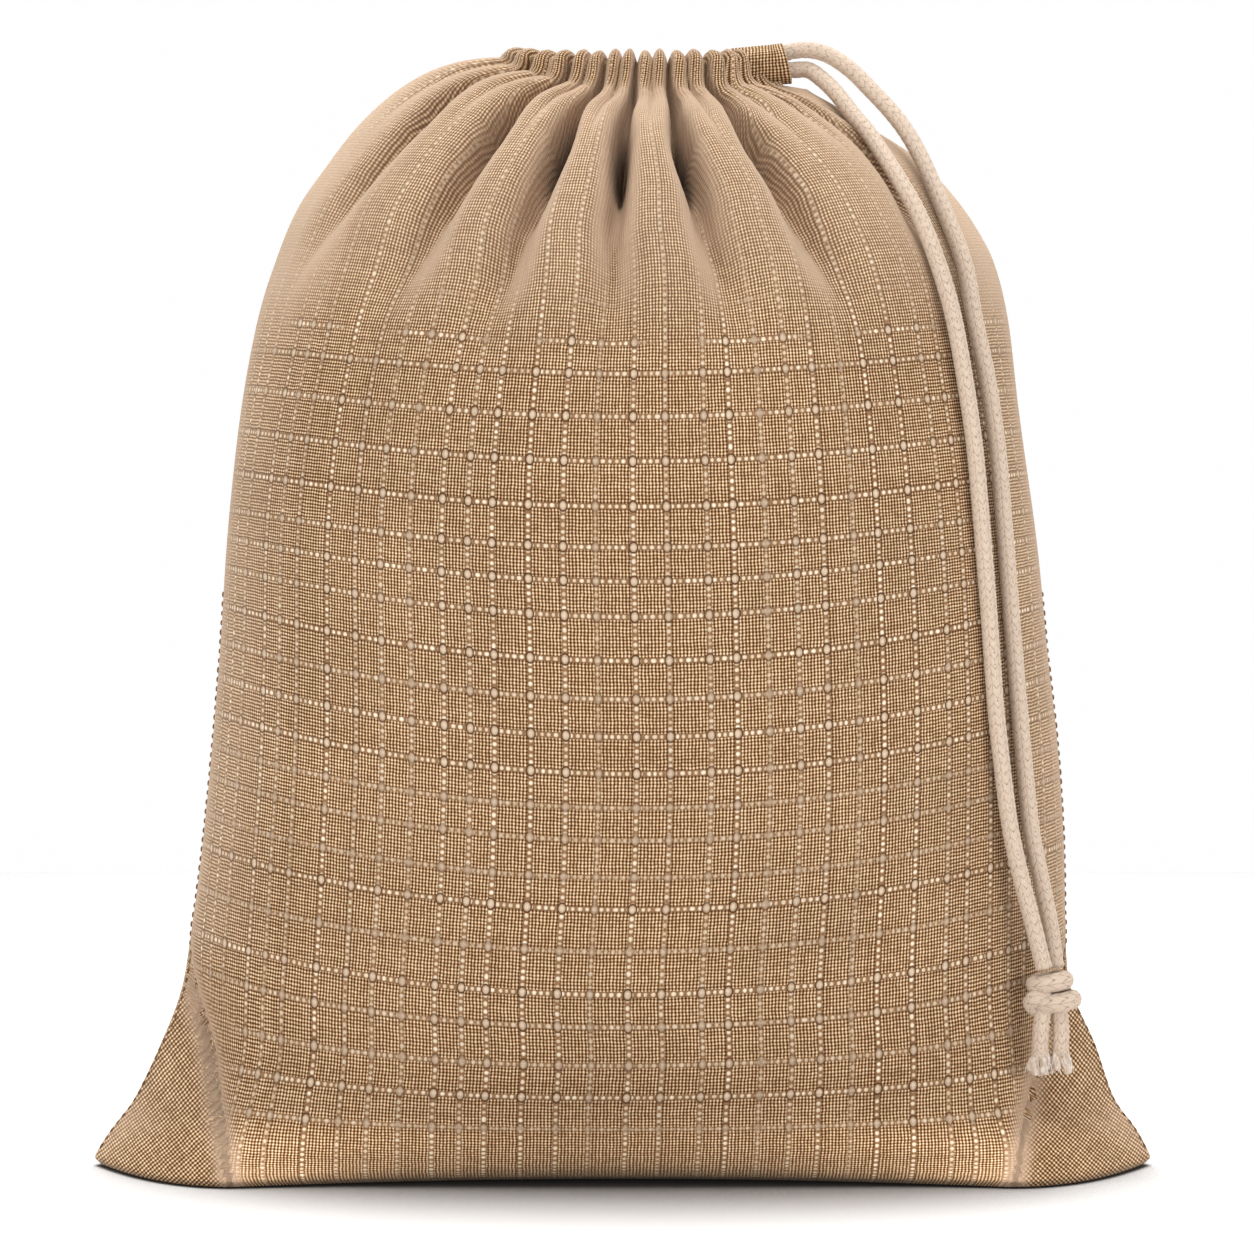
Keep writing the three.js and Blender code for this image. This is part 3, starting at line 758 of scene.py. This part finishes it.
def threadMaps(rings, hidden, ringSides, onFront, heights, middleReach):
    # U counts the upright threads, V the level ones. Cloth that hides in a valley takes its threads along.
    columns, perFace, pitch = clothLook["columns"], clothLook["threadsPerFace"], clothLook["threadPitch"]
    steps = np.linalg.norm(np.diff(np.concatenate([rings, rings[:, :1]], axis=1), axis=1), axis=2)
    hiddenStep = (hidden + np.roll(hidden, -1, axis=1)) / 2
    u = np.zeros((rings.shape[0], rings.shape[1] + 1))
    for face in (slice(0, columns), slice(columns, 2 * columns)):
        plain = steps[:, face].sum(axis=1)
        folded = (steps * hiddenStep)[:, face].sum(axis=1)
        spare = np.clip(perFace * pitch - plain, 0, None)
        amount = np.where(folded > 1e-6, spare / np.maximum(folded, 1e-6), 0)
        amount = np.minimum(amount, clothLook["mostHidden"])
        density = steps[:, face] * (1 + amount[:, None] * hiddenStep[:, face])
        run = np.cumsum(density, axis=1) / density.sum(axis=1)[:, None] * perFace
        # below the folds the upright threads stay upright, counted from the middle of the face
        straight = (np.cumsum(steps[:, face], axis=1) - plain[:, None] / 2) / pitch + perFace / 2
        gathered = smooth(heights, 150, 215)[:, None]
        start = 0 if face.start == 0 else perFace
        u[:, face.start + 1:face.stop + 1] = start + run * gathered + straight * (1 - gathered)
    sideways = np.concatenate([ringSides, ringSides[:, :1]], axis=1)
    sag = np.interp(heights, *zip(*levelSag))
    closed = np.concatenate([rings, rings[:, :1]], axis=1)
    up = closed[..., 2] - heights[:, None]
    upperRows = np.arange(1, len(heights) - len(middleReach) + 1)
    reach = np.concatenate([middleReach, middleReach[-1] + 2.2 * upperRows])
    drop = np.where(heights[:, None] < 284.5, up - sag[:, None] * sideways ** 2, 0)
    v = (reach[:, None] + drop) / pitch
    # beyond the crease of a bottom corner the cloth lies on the slant, turned about the crease's middle
    slant = 0.7 / pitch
    crease = np.interp(heights, [row[4] for row in sections], [row[6] for row in sections])
    beyond = np.abs(closed[..., 0]) - crease[:, None]
    inEar = smooth(beyond, 0.2, 1.4) * (1 - smooth(heights, 46, 60))[:, None]
    outward, upward = np.abs(closed[..., 0]) - earMiddle[0], heights[:, None] - earMiddle[1]
    frontFace = np.append(onFront, True)
    ending = np.sign(closed[..., 0]) * np.where(frontFace, 1, -1)[None, :]
    faceStart = np.where(frontFace, 0, perFace)[None, :]
    creaseU = faceStart + perFace / 2 + ending * earMiddle[0] * 1.06 / pitch
    creaseV = np.interp(earMiddle[1], heights, reach) / pitch
    u = u * (1 - inEar) + (creaseU + ending * slant * (outward + upward)) * inEar
    v = v * (1 - inEar) + (creaseV + slant * (upward - outward)) * inEar
    return u, v


def slubPlaces(total, low, high, seed):
    rng = np.random.default_rng(seed)
    places = [-low]
    while places[-1] < total + high:
        places.append(places[-1] + rng.uniform(low, high))
    return np.array(places)


clothParts = buildCloth()
rings, normals, outer, hidden, ringSides, across, onFront, heights, wallRows, middleReach = clothParts
threadsU, threadsV = threadMaps(rings, hidden, ringSides, onFront, heights, middleReach)
uprightSlubs = slubPlaces(2 * clothLook["threadsPerFace"], *clothLook["uprightGap"], clothLook["seed"])
levelSlubs = slubPlaces(threadsV.max(), *clothLook["levelGap"], clothLook["seed"] + 1)
slubsU = np.interp(threadsU, uprightSlubs, np.arange(len(uprightSlubs)))
slubsV = np.interp(threadsV, levelSlubs, np.arange(len(levelSlubs)))
# ground threads between neighbouring slub yarns, at each yarn the mean of its two sides
gapsU = np.interp(slubsU, np.arange(len(uprightSlubs)), np.gradient(uprightSlubs))
gapsV = np.interp(slubsV, np.arange(len(levelSlubs)), np.gradient(levelSlubs))


def sleeve():
    # the open end of the tunnel: outside, rolled rim, and a short way back inside
    look = sleeveLook
    line, reach = curveThrough(look["line"], 1.0)
    turn = np.linspace(0, 2 * math.pi, look["around"] + 1)
    lean = -look["lean"] * np.sin(turn)
    wobble = 1 + 0.03 * np.sin(3 * turn + 1.1) + 0.02 * np.sin(5 * turn)
    profile = [(reach[-1] * f, 1.0) for f in np.linspace(0, 1, look["rings"])]
    inner = look["radius"] - look["wall"]
    for a in np.linspace(0.3, math.pi, 7):
        bulge = look["wall"] / 2
        profile.append((reach[-1] + bulge * math.sin(a),
                        (inner + bulge + bulge * math.cos(a)) / look["radius"]))
    profile += [(reach[-1] - back, inner / look["radius"]) for back in np.linspace(1, look["reachIn"], 6)]
    points, maps = [], []
    for along, share in profile:
        middle = np.array([np.interp(along, reach, line[:, k]) for k in range(3)])
        radius = look["radius"] * share * wobble
        ends = smooth(np.array(along), reach[-1] - 6, reach[-1])
        points.append(np.stack([middle[0] + lean * ends, middle[1] - radius * np.cos(turn),
                                middle[2] + radius * np.sin(turn)], axis=1)[:-1])
        arc = turn * look["radius"]
        maps.append(np.stack([np.full_like(arc, along), arc], axis=1) / clothLook["threadPitch"])
    faces, corners = [], []
    around = look["around"]
    for r in range(len(profile) - 1):
        for c in range(around):
            n = (c + 1) % around
            faces.append([r * around + c, r * around + n, (r + 1) * around + n, (r + 1) * around + c])
            corners += [maps[r][c], maps[r][c + 1], maps[r + 1][c + 1], maps[r + 1][c]]
    for ring, order in ((0, -1), (len(profile) - 1, 1)):
        faces.append([ring * around + c for c in range(around)][::order])
        corners += [maps[ring][0]] * around
    return np.concatenate(points), faces, np.array(corners)


def clothPiece(material):
    rows, around = outer.shape[:2]
    points = list(outer.reshape(-1, 3))
    # face by face: (point, its place in the maps) for each corner
    faces, corners = [], []

    def corner(r, c):
        return r * around + c % around, (r, c)

    for r in range(rows - 1):
        for c in range(around):
            quad = [corner(r, c), corner(r, c + 1), corner(r + 1, c + 1), corner(r + 1, c)]
            faces.append([q[0] for q in quad])
            corners += [q[1] for q in quad]
    # inside wall, coarser, from the end of the turned-down tunnel to the floor
    every = clothLook["insideEvery"]
    insideRows = range(wallRows - 2, 4, -clothLook["insideRows"])
    deeper = clothLook["thickness"] + 0.9 * smooth(heights, 215, 262)
    inward = outer - normals * deeper[:, None, None]
    lastRow = rows - 1
    previous = [lastRow * around + c for c in range(0, around, every)]
    for r in insideRows:
        start = len(points)
        points += list(inward[r, ::every])
        ring = [start + k for k in range(around // every)]
        count = len(ring)
        for k in range(count):
            n = (k + 1) % count
            low, high = k * every, (k + 1) * every
            quad = [(previous[k], (lastRow, low)), (previous[n], (lastRow, high)), (ring[n], (r, high)),
                    (ring[k], (r, low))]
            if lastRow == rows - 1:
                quad.insert(1, (previous[k] + 1, (lastRow, low + 1)))
            faces.append([q[0] for q in quad])
            corners += [q[1] for q in quad]
        previous, lastRow = ring, r
    # floor of the inside and underside of the bag
    count = len(previous)
    for i in range(count // 2):
        quad = [previous[i], previous[i + 1], previous[count - i - 1], previous[(count - i) % count]]
        kept = [q for j, q in enumerate(quad) if q not in quad[:j]]
        faces.append(kept)
        corners += [(lastRow, 0)] * len(kept)
    for i in range(around // 2):
        quad = [i, (around - i) % around, around - i - 1, i + 1]
        kept = [q for j, q in enumerate(quad) if q not in quad[:j]]
        faces.append(kept)
        corners += [(0, 0)] * len(kept)
    rows, columns = np.array(corners).T
    threads = np.stack([threadsU[rows, columns], threadsV[rows, columns]], axis=1)
    slubs = np.stack([slubsU[rows, columns], slubsV[rows, columns]], axis=1)
    gaps = np.stack([gapsU[rows, columns], gapsV[rows, columns]], axis=1)
    # no slub yarn shows on the sleeve, so it lies halfway between two
    sleevePoints, sleeveFaces, sleeveThreads = sleeve()
    faces += [[len(points) + p for p in face] for face in sleeveFaces]
    points = np.concatenate([np.array(points), sleevePoints])
    between = np.full_like(sleeveThreads, 0.5)
    maps = {"threads": np.concatenate([threads, sleeveThreads]), "slubs": np.concatenate([slubs, between]),
            "gaps": np.concatenate([gaps, between * 16])}
    return meshPiece("linen_bag", points * mm, faces, maps, material)


def clothMaterial():
    s = Shader("slubbed_linen")
    u, v = s.uv("threads")
    g, h = s.uv("slubs")
    gapU, gapV = s.uv("gaps")
    full = 2 * math.pi
    # threads wander a little off their straight lines
    driftU = s.cloud(s.pair(s.times(u, 0.16), s.times(v, 0.30)), 1.0, 1.0)
    driftV = s.cloud(s.pair(s.times(u, 0.30), s.times(v, 0.16), 5.0), 1.0, 1.0)
    atU = s.plus(u, s.times(s.minus(driftU, 0.5), 0.5))
    atV = s.plus(v, s.times(s.minus(driftV, 0.5), 0.5))
    # plain weave: a light knuckle where two threads cross, a dark hole between four of them
    # in the gathered tunnel most upright threads hide between the ruffles
    gathered = s.attribute("gathered")
    fewer = s.calc("COSINE", s.times(atU, full * 0.42))
    even = s.calc("COSINE", s.times(atU, full))
    shown = s.plus(even, s.times(s.minus(fewer, even), gathered))
    onU = s.plus(0.5, s.times(shown, 0.5))
    onV = s.plus(0.5, s.times(s.calc("COSINE", s.times(atV, full)), 0.5))
    weaves = []
    for strong, weak in ((onU, onV), (onV, onU)):
        thread = s.times(strong, s.plus(0.56, s.times(weak, 0.44)))
        gap = s.times(s.minus(1.0, strong), s.times(weak, 0.36))
        weaves.append(s.plus(thread, gap))
    level = s.attribute("levelThreads")
    weave = s.plus(weaves[0], s.times(s.minus(weaves[1], weaves[0]), level))
    threadU, threadV = s.calc("ROUND", atU), s.calc("ROUND", atV)
    own = s.plus(s.times(s.chance(threadU, threadV), 0.22), 0.89)
    yarn = s.plus(s.times(s.plus(s.chance(threadU, 3.0), s.chance(threadV, 8.0)), 0.10), 0.92)
    value = s.times(s.times(weave, own), yarn)
    colour = s.steps(value, ((0.0, (0.028, 0.008, 0.002)), (0.30, (0.150, 0.060, 0.018)),
                             (0.60, (0.43, 0.26, 0.13)), (0.92, (0.92, 0.69, 0.45))))
    # slub yarns: beads on a brown line, a dull knot where an upright and a level one cross
    lineU, lineV = s.calc("ROUND", g), s.calc("ROUND", h)
    offU = s.times(s.minus(g, lineU), gapU)
    offV = s.times(s.minus(h, lineV), gapV)
    strength = []
    for line, salt, name in ((lineU, 1.0, "uprightSlub"), (lineV, 2.0, "levelSlub")):
        some = s.plus(s.times(s.chance(line, salt), 0.8), 0.42, clamp=True)
        strength.append(s.times(some, s.attribute(name)))
    height = weave
    for off, other, line, strong, salt in ((offU, v, lineU, strength[0], 5.0),
                                           (offV, u, lineV, strength[1], 9.0)):
        away = s.calc("ABSOLUTE", off)
        wander = s.cloud(s.pair(s.times(other, 0.2), s.times(line, 7.31)), 1.0, 1.0)
        phase = s.plus(s.calc("DIVIDE", other, 2.0), wander)
        size = s.chance(s.calc("FLOOR", phase), s.plus(line, salt))
        near = s.times(s.calc("ABSOLUTE", s.minus(s.calc("FRACT", phase), 0.5)), 2.0)
        long = s.plus(s.times(size, 0.16), 0.52)
        wide = s.plus(s.times(size, 0.14), 0.54)
        oval = s.plus(s.calc("POWER", s.calc("DIVIDE", near, long), 2.0),
                      s.calc("POWER", s.calc("DIVIDE", away, wide), 2.0))
        band = s.times(s.ramp(away, 1.0, 0.78), strong)
        line = s.mix(s.ramp(away, 0.6, 0.92), (0.30, 0.165, 0.08, 1), (0.12, 0.05, 0.017, 1))
        colour = s.mix(band, colour, line)
        beads = s.times(s.ramp(oval, 1.35, 0.8), strong)
        light = s.mix(size, (0.78, 0.60, 0.41, 1), (1.0, 0.89, 0.72, 1))
        colour = s.mix(beads, colour, s.mix(s.ramp(oval, 0.9, 0.1), (0.66, 0.48, 0.31, 1), light))
        # the relief is one soft ridge along each slub yarn, which renders faster than one for each bead
        height = s.plus(height, s.times(s.ramp(away, 0.9, 0.1), s.times(strong, 0.8)))
    crossing = s.plus(s.calc("POWER", s.calc("ABSOLUTE", s.calc("DIVIDE", offU, 1.03)), 2.0),
                      s.calc("POWER", s.calc("ABSOLUTE", s.calc("DIVIDE", offV, 1.32)), 2.0))
    meet = s.times(s.times(strength[0], strength[1]), 1.35, clamp=True)
    colour = s.mix(s.times(s.ramp(crossing, 2.3, 1.6), meet), colour, (0.115, 0.048, 0.017, 1))
    knot = s.times(s.ramp(crossing, 1.25, 0.8), meet)
    knotColour = s.mix(s.ramp(crossing, 0.9, 0.0), (0.50, 0.345, 0.22, 1), (0.76, 0.59, 0.43, 1))
    colour = s.mix(knot, colour, knotColour)
    height = s.plus(height, s.times(knot, 1.4))
    # painted sheen: where the cloth turns away from the front, on its sides and the flanks of the folds, and
    # in a band along the crease of each bottom corner, a paler plain tone covers the holes of the weave
    colour = s.mix(s.times(s.attribute("paintedSheen"), 0.84), colour, (0.50, 0.345, 0.235, 1))
    spot = s.node("ShaderNodeTexCoord").outputs["Object"]
    colour = s.mix(1.0, colour, s.grey(s.plus(0.73, s.times(s.cloud(spot, 24.0, 3.0), 0.26))),
                   "MULTIPLY")
    # painted light: the upper folds and the cloth near the side seams are made paler, as if more light fell
    # there
    colour = s.mix(s.attribute("paintedLight"), colour, (0.78, 0.60, 0.44, 1))
    # painted light: the strip along the bottom, turned under away from the lamps, is made brighter
    brighter = s.grey(s.plus(1.0, s.times(s.attribute("bottomLight"), 0.85)))
    colour = s.mix(1.0, colour, brighter, "MULTIPLY")
    # no light gets down into the valleys of the folds
    colour = s.mix(s.attribute("valley"), colour, s.mix(1.0, colour, (0.16, 0.10, 0.06, 1), "MULTIPLY"))
    return s.finish(colour, height, 0.20 * mm, 0.9, 0.13, (1.0, 0.86, 0.70, 1))


cloth = clothPiece(clothMaterial())
print("cloth:", len(cloth.data.polygons), "faces")


# Where the attributes of the cloth material begin and end: heights in mm, shares from 0 to 1
shareLook = {
    "ear": (98, 106), "earTop": (44, 60), "slubTop": 218, "slubTopWave": 8, "slubFoot": (12, 20),
    "folds": (208, 236), "crease": 2.8, "creaseStrength": 1.5, "creaseTop": (44, 58),
    "drawn": (252, 267), "drawnDepth": (5, 17), "gathered": (276, 284), "grooveDepth": (0.7, 2.0),
    # the next keys set the painted light: paler upper folds and seam sides, and the brighter bottom strip
    "lightOverFolds": 0.15, "lightFrom": (205, 250), "lightTo": (274, 286),
    "lightNearSeams": 0.14, "seams": (0.78, 0.98), "seamsFrom": (50, 70), "levelThreads": (0.60, 0.84),
    "bottomLight": (5, 22), "darkest": 0.92,
}


def cornerShares(name, grid):
    # a number for each point of the cloth's outside, and 0 for those of the inside
    values = np.zeros(len(cloth.data.vertices), dtype=np.float32)
    values[:grid.size] = grid.ravel()
    cloth.data.attributes.new(name, "FLOAT", "POINT").data.foreach_set("value", values)


def column(values):
    return values[:, None]


def byHeight(name):
    return column(smooth(heights, *shareLook[name]))


finalNormals = ringNormals(outer)
facing = np.abs(finalNormals[..., 1])
halfWidths = (outer[:, :, 0].max(axis=1) - outer[:, :, 0].min(axis=1)) / 2
inEar = smooth(np.abs(ringSides) * column(halfWidths), *shareLook["ear"]) * (1 - byHeight("earTop"))
slubTop = shareLook["slubTop"] + shareLook["slubTopWave"] * np.cos(across * 2 * math.pi * 6.5)
levelShow = smooth(slubTop[None, :] - column(heights), -6, 6) * byHeight("slubFoot") * (1 - inEar)
inFolds = byHeight("folds")
creaseAt = np.interp(heights, [row[4] for row in sections], [row[6] for row in sections])
fromCrease = np.abs(outer[..., 0]) - column(creaseAt) - 0.8
creaseBand = np.exp(-(fromCrease / shareLook["crease"]) ** 2) * (1 - byHeight("creaseTop"))
drawnIn = -foldShape(rings, across, onFront, heights)[0] * byHeight("drawn")
grooves = smooth(-ruffleShape(across, onFront, heights), *shareLook["grooveDepth"]) * byHeight("gathered")
# painted light: paler over the upper folds and near the side seams
overFolds = shareLook["lightOverFolds"] * byHeight("lightFrom") * (1 - byHeight("lightTo"))
towardsSeam = shareLook["lightNearSeams"] * smooth(np.abs(ringSides), *shareLook["seams"]) * byHeight("seamsFrom")
sideways = smooth(np.abs(ringSides), *shareLook["levelThreads"])
# painted sheen: where the cloth turns away from the front, more so on the folds, and along the corner
# creases
foldSides = smooth(facing, 0.45, 0.15) + smooth(facing, 0.85, 0.45) * inFolds
# among these shares are the painted sheen, the painted light along the bottom, over the folds and near the
# seams, and the painted shade in the valleys
for name, grid in (
        ("uprightSlub", (1 - inEar) * (1 - 0.3 * inFolds)),
        ("levelSlub", levelShow),
        ("gathered", byHeight("gathered") * np.ones_like(across)),
        ("levelThreads", sideways * (1 - inFolds) * (1 - inEar)),
        ("paintedSheen", np.clip(foldSides + shareLook["creaseStrength"] * creaseBand, 0, 1)),
        ("bottomLight", (1 - byHeight("bottomLight")) * (1 - 0.8 * inEar)),
        ("paintedLight", overFolds + towardsSeam),
        ("valley", np.clip(smooth(drawnIn, *shareLook["drawnDepth"]) + 0.6 * grooves, 0,
                           shareLook["darkest"]))):
    cornerShares(name, grid)



# Side seams: a row of short stitches just inside each edge
stitchLook = {"spacing": 2.5, "length": 1.5, "radius": 0.34, "uneven": 0.15, "inward": 1.3, "from": 5,
              "to": 150, "lift": 0.12}


def stitchTree():
    n, given = geometryTree("row_of_stitches", {
        "Path": "Geometry", "Spacing": "Float", "Stitch length": "Float", "Stitch radius": "Float",
        "Unevenness": "Float", "Seed": "Int", "Material": "Material"})
    line = n.node("GeometryNodeMeshToCurve")
    n.plug(line.inputs[0], given["Path"])
    places = n.made("GeometryNodeCurveToPoints", {"Curve": line.outputs[0], "Length": given["Spacing"]},
                    mode="LENGTH")
    stitch = n.made("GeometryNodeMeshUVSphere", {"Segments": 10, "Rings": 8, "Radius": 1.0})
    uneven = n.random(n.minus(1.0, given["Unevenness"]), n.plus(1.0, given["Unevenness"]), given["Seed"])
    thick = n.times(given["Stitch radius"], uneven)
    size = n.pair(thick, thick, n.times(n.calc("DIVIDE", given["Stitch length"], 2.0), uneven))
    rows = n.made("GeometryNodeInstanceOnPoints", {
        "Points": places.outputs["Points"], "Instance": stitch.outputs["Mesh"],
        "Rotation": places.outputs["Rotation"], "Scale": size})
    return finishTree(n, rows.outputs[0], given["Material"])


def threadMaterial():
    s = Shader("seam_thread")
    spot = s.node("ShaderNodeTexCoord").outputs["Object"]
    twist = s.cloud(s.vector("MULTIPLY", spot, (900.0, 900.0, 2400.0)), 1.0, 2.0)
    colour = s.mix(s.ramp(twist, 0.35, 0.65), (0.11, 0.06, 0.03, 1), (0.22, 0.13, 0.07, 1))
    return s.finish(colour, twist, 0.08 * mm, 0.9, 0.1)


seamTree, seamThread = stitchTree(), threadMaterial()
shownRows = [r for r in range(wallRows) if stitchLook["from"] < heights[r] < stitchLook["to"]]
seams = []
for name, way, seed in (("side_seam_left", 1, 4), ("side_seam_right", -1, 6)):
    # the front point at the wanted distance in from the edge
    seamLine = []
    for r in shownRows:
        front = outer[r, :clothLook["columns"] + 1][::way]
        inwards = np.linalg.norm(np.diff(front, axis=0), axis=1).cumsum()
        c = int(np.searchsorted(inwards, stitchLook["inward"])) + 1
        c = c if way > 0 else clothLook["columns"] - c
        seamLine.append((outer[r, c] + finalNormals[r, c] * stitchLook["lift"]) * mm)
    values = {"Spacing": stitchLook["spacing"] * mm, "Stitch length": stitchLook["length"] * mm,
              "Stitch radius": stitchLook["radius"] * mm, "Unevenness": stitchLook["uneven"],
              "Seed": seed, "Material": seamThread}
    seam = bpy.data.objects.new(name, plainMesh(seamTree, name, values, seamLine))
    seam.data.polygons.foreach_set("use_smooth", [True] * len(seam.data.polygons))
    scene.collection.objects.link(seam)
    seams.append(seam)
print("seams:", [len(seam.data.polygons) for seam in seams], "faces")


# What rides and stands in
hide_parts("bag_cloth")

knotPieces = [upperWrap, lowerWrap, lobe, leftTail, rightTail]
for leg, line, node, onIt in ((upperLeg, upperLine, "drawcord_upper_leg", knotPieces),
                              (lowerLeg, lowerLine, "drawcord_lower_leg", [])):
    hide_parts(node)

for piece in (cloth, *seams, upperLeg, lowerLeg, *knotPieces):
    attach(piece, "root")
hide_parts("drawcord_knot")
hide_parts("cord_end_left")
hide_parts("cord_end_right")


# Floor, backdrop and lights
studio = {
    "floor": 3.0, "floorZ": -0.0003, "floorGlow": 0.1, "contact": 0.085,
    "backdropY": 1.4, "behindFloor": 0.12, "backdrop": 0.995, "world": 0.20,
}


def floorMaterial():
    s = Shader("studio_floor")
    skin = s.node("ShaderNodeBsdfPrincipled")
    # painted contact shadow: close to what stands on it the white floor is darkened, in its colour and in
    # its glow
    contactShadow = s.node("ShaderNodeAmbientOcclusion")
    contactShadow.samples = 4
    contactShadow.inputs["Distance"].default_value = studio["contact"]
    shade = s.steps(contactShadow.outputs["AO"], ((0.0, (0.03, 0.03, 0.03)), (0.42, (0.11, 0.105, 0.10)),
                                              (0.62, (0.42, 0.41, 0.405)), (0.80, (0.80, 0.79, 0.785)),
                                              (0.97, (0.95, 0.95, 0.95))))
    s.tree.links.new(shade, skin.inputs["Base Color"])
    s.tree.links.new(shade, skin.inputs["Emission Color"])
    skin.inputs["Emission Strength"].default_value = studio["floorGlow"]
    s.material.cycles.emission_sampling = "NONE"
    skin.inputs["Roughness"].default_value = 0.9
    skin.inputs["Specular IOR Level"].default_value = 0.1
    s.tree.links.new(skin.outputs[0], s.node("ShaderNodeOutputMaterial").inputs[0])
    return s.material


def backdropMaterial():
    s = Shader("studio_backdrop")
    glow = s.node("ShaderNodeEmission")
    glow.inputs["Strength"].default_value = studio["backdrop"]
    s.material.cycles.emission_sampling = "NONE"
    s.tree.links.new(glow.outputs[0], s.node("ShaderNodeOutputMaterial").inputs[0])
    return s.material


def plane(name, corners, material):
    return meshPiece(name, corners, [(0, 1, 2, 3)], material=material)


wide, ground, away = studio["floor"], studio["floorZ"], studio["backdropY"]
behind = away + studio["behindFloor"]
floor = plane("studio_floor", [(-wide, -wide, ground), (wide, -wide, ground), (wide, away, ground),
                               (-wide, away, ground)], floorMaterial())
backdrop = plane("studio_backdrop", [(-wide, behind, -wide), (wide, behind, -wide), (wide, behind, wide),
                                     (-wide, behind, wide)], backdropMaterial())

world = bpy.data.worlds.new("studio")
world.use_nodes = True
world.node_tree.nodes["Background"].inputs[0].default_value = (1, 1, 1, 1)
world.node_tree.nodes["Background"].inputs[1].default_value = studio["world"]
scene.world = world


def softbox(name, place, aim, size, power, colour=(1, 1, 1)):
    light = bpy.data.lights.new(name, "AREA")
    light.shape = "RECTANGLE"
    light.size, light.size_y = size
    light.energy = power
    light.color = colour
    lamp = bpy.data.objects.new(name, light)
    lamp.location = place
    lamp.rotation_euler = (Vector(aim) - Vector(place)).to_track_quat("-Z", "Y").to_euler()
    scene.collection.objects.link(lamp)
    return lamp


softbox("top", (0, 0.30, 1.25), (0, 0.10, 0), (0.8, 0.9), 15.5)
softbox("front", (0, -0.75, 1.25), (0, 0, 0.22), (1.0, 0.5), 9.5)
softbox("left", (-1.1, -0.95, 0.20), (0, 0, 0.14), (0.7, 0.36), 7)
softbox("right", (1.1, -0.95, 0.20), (0, 0, 0.14), (0.7, 0.36), 7)
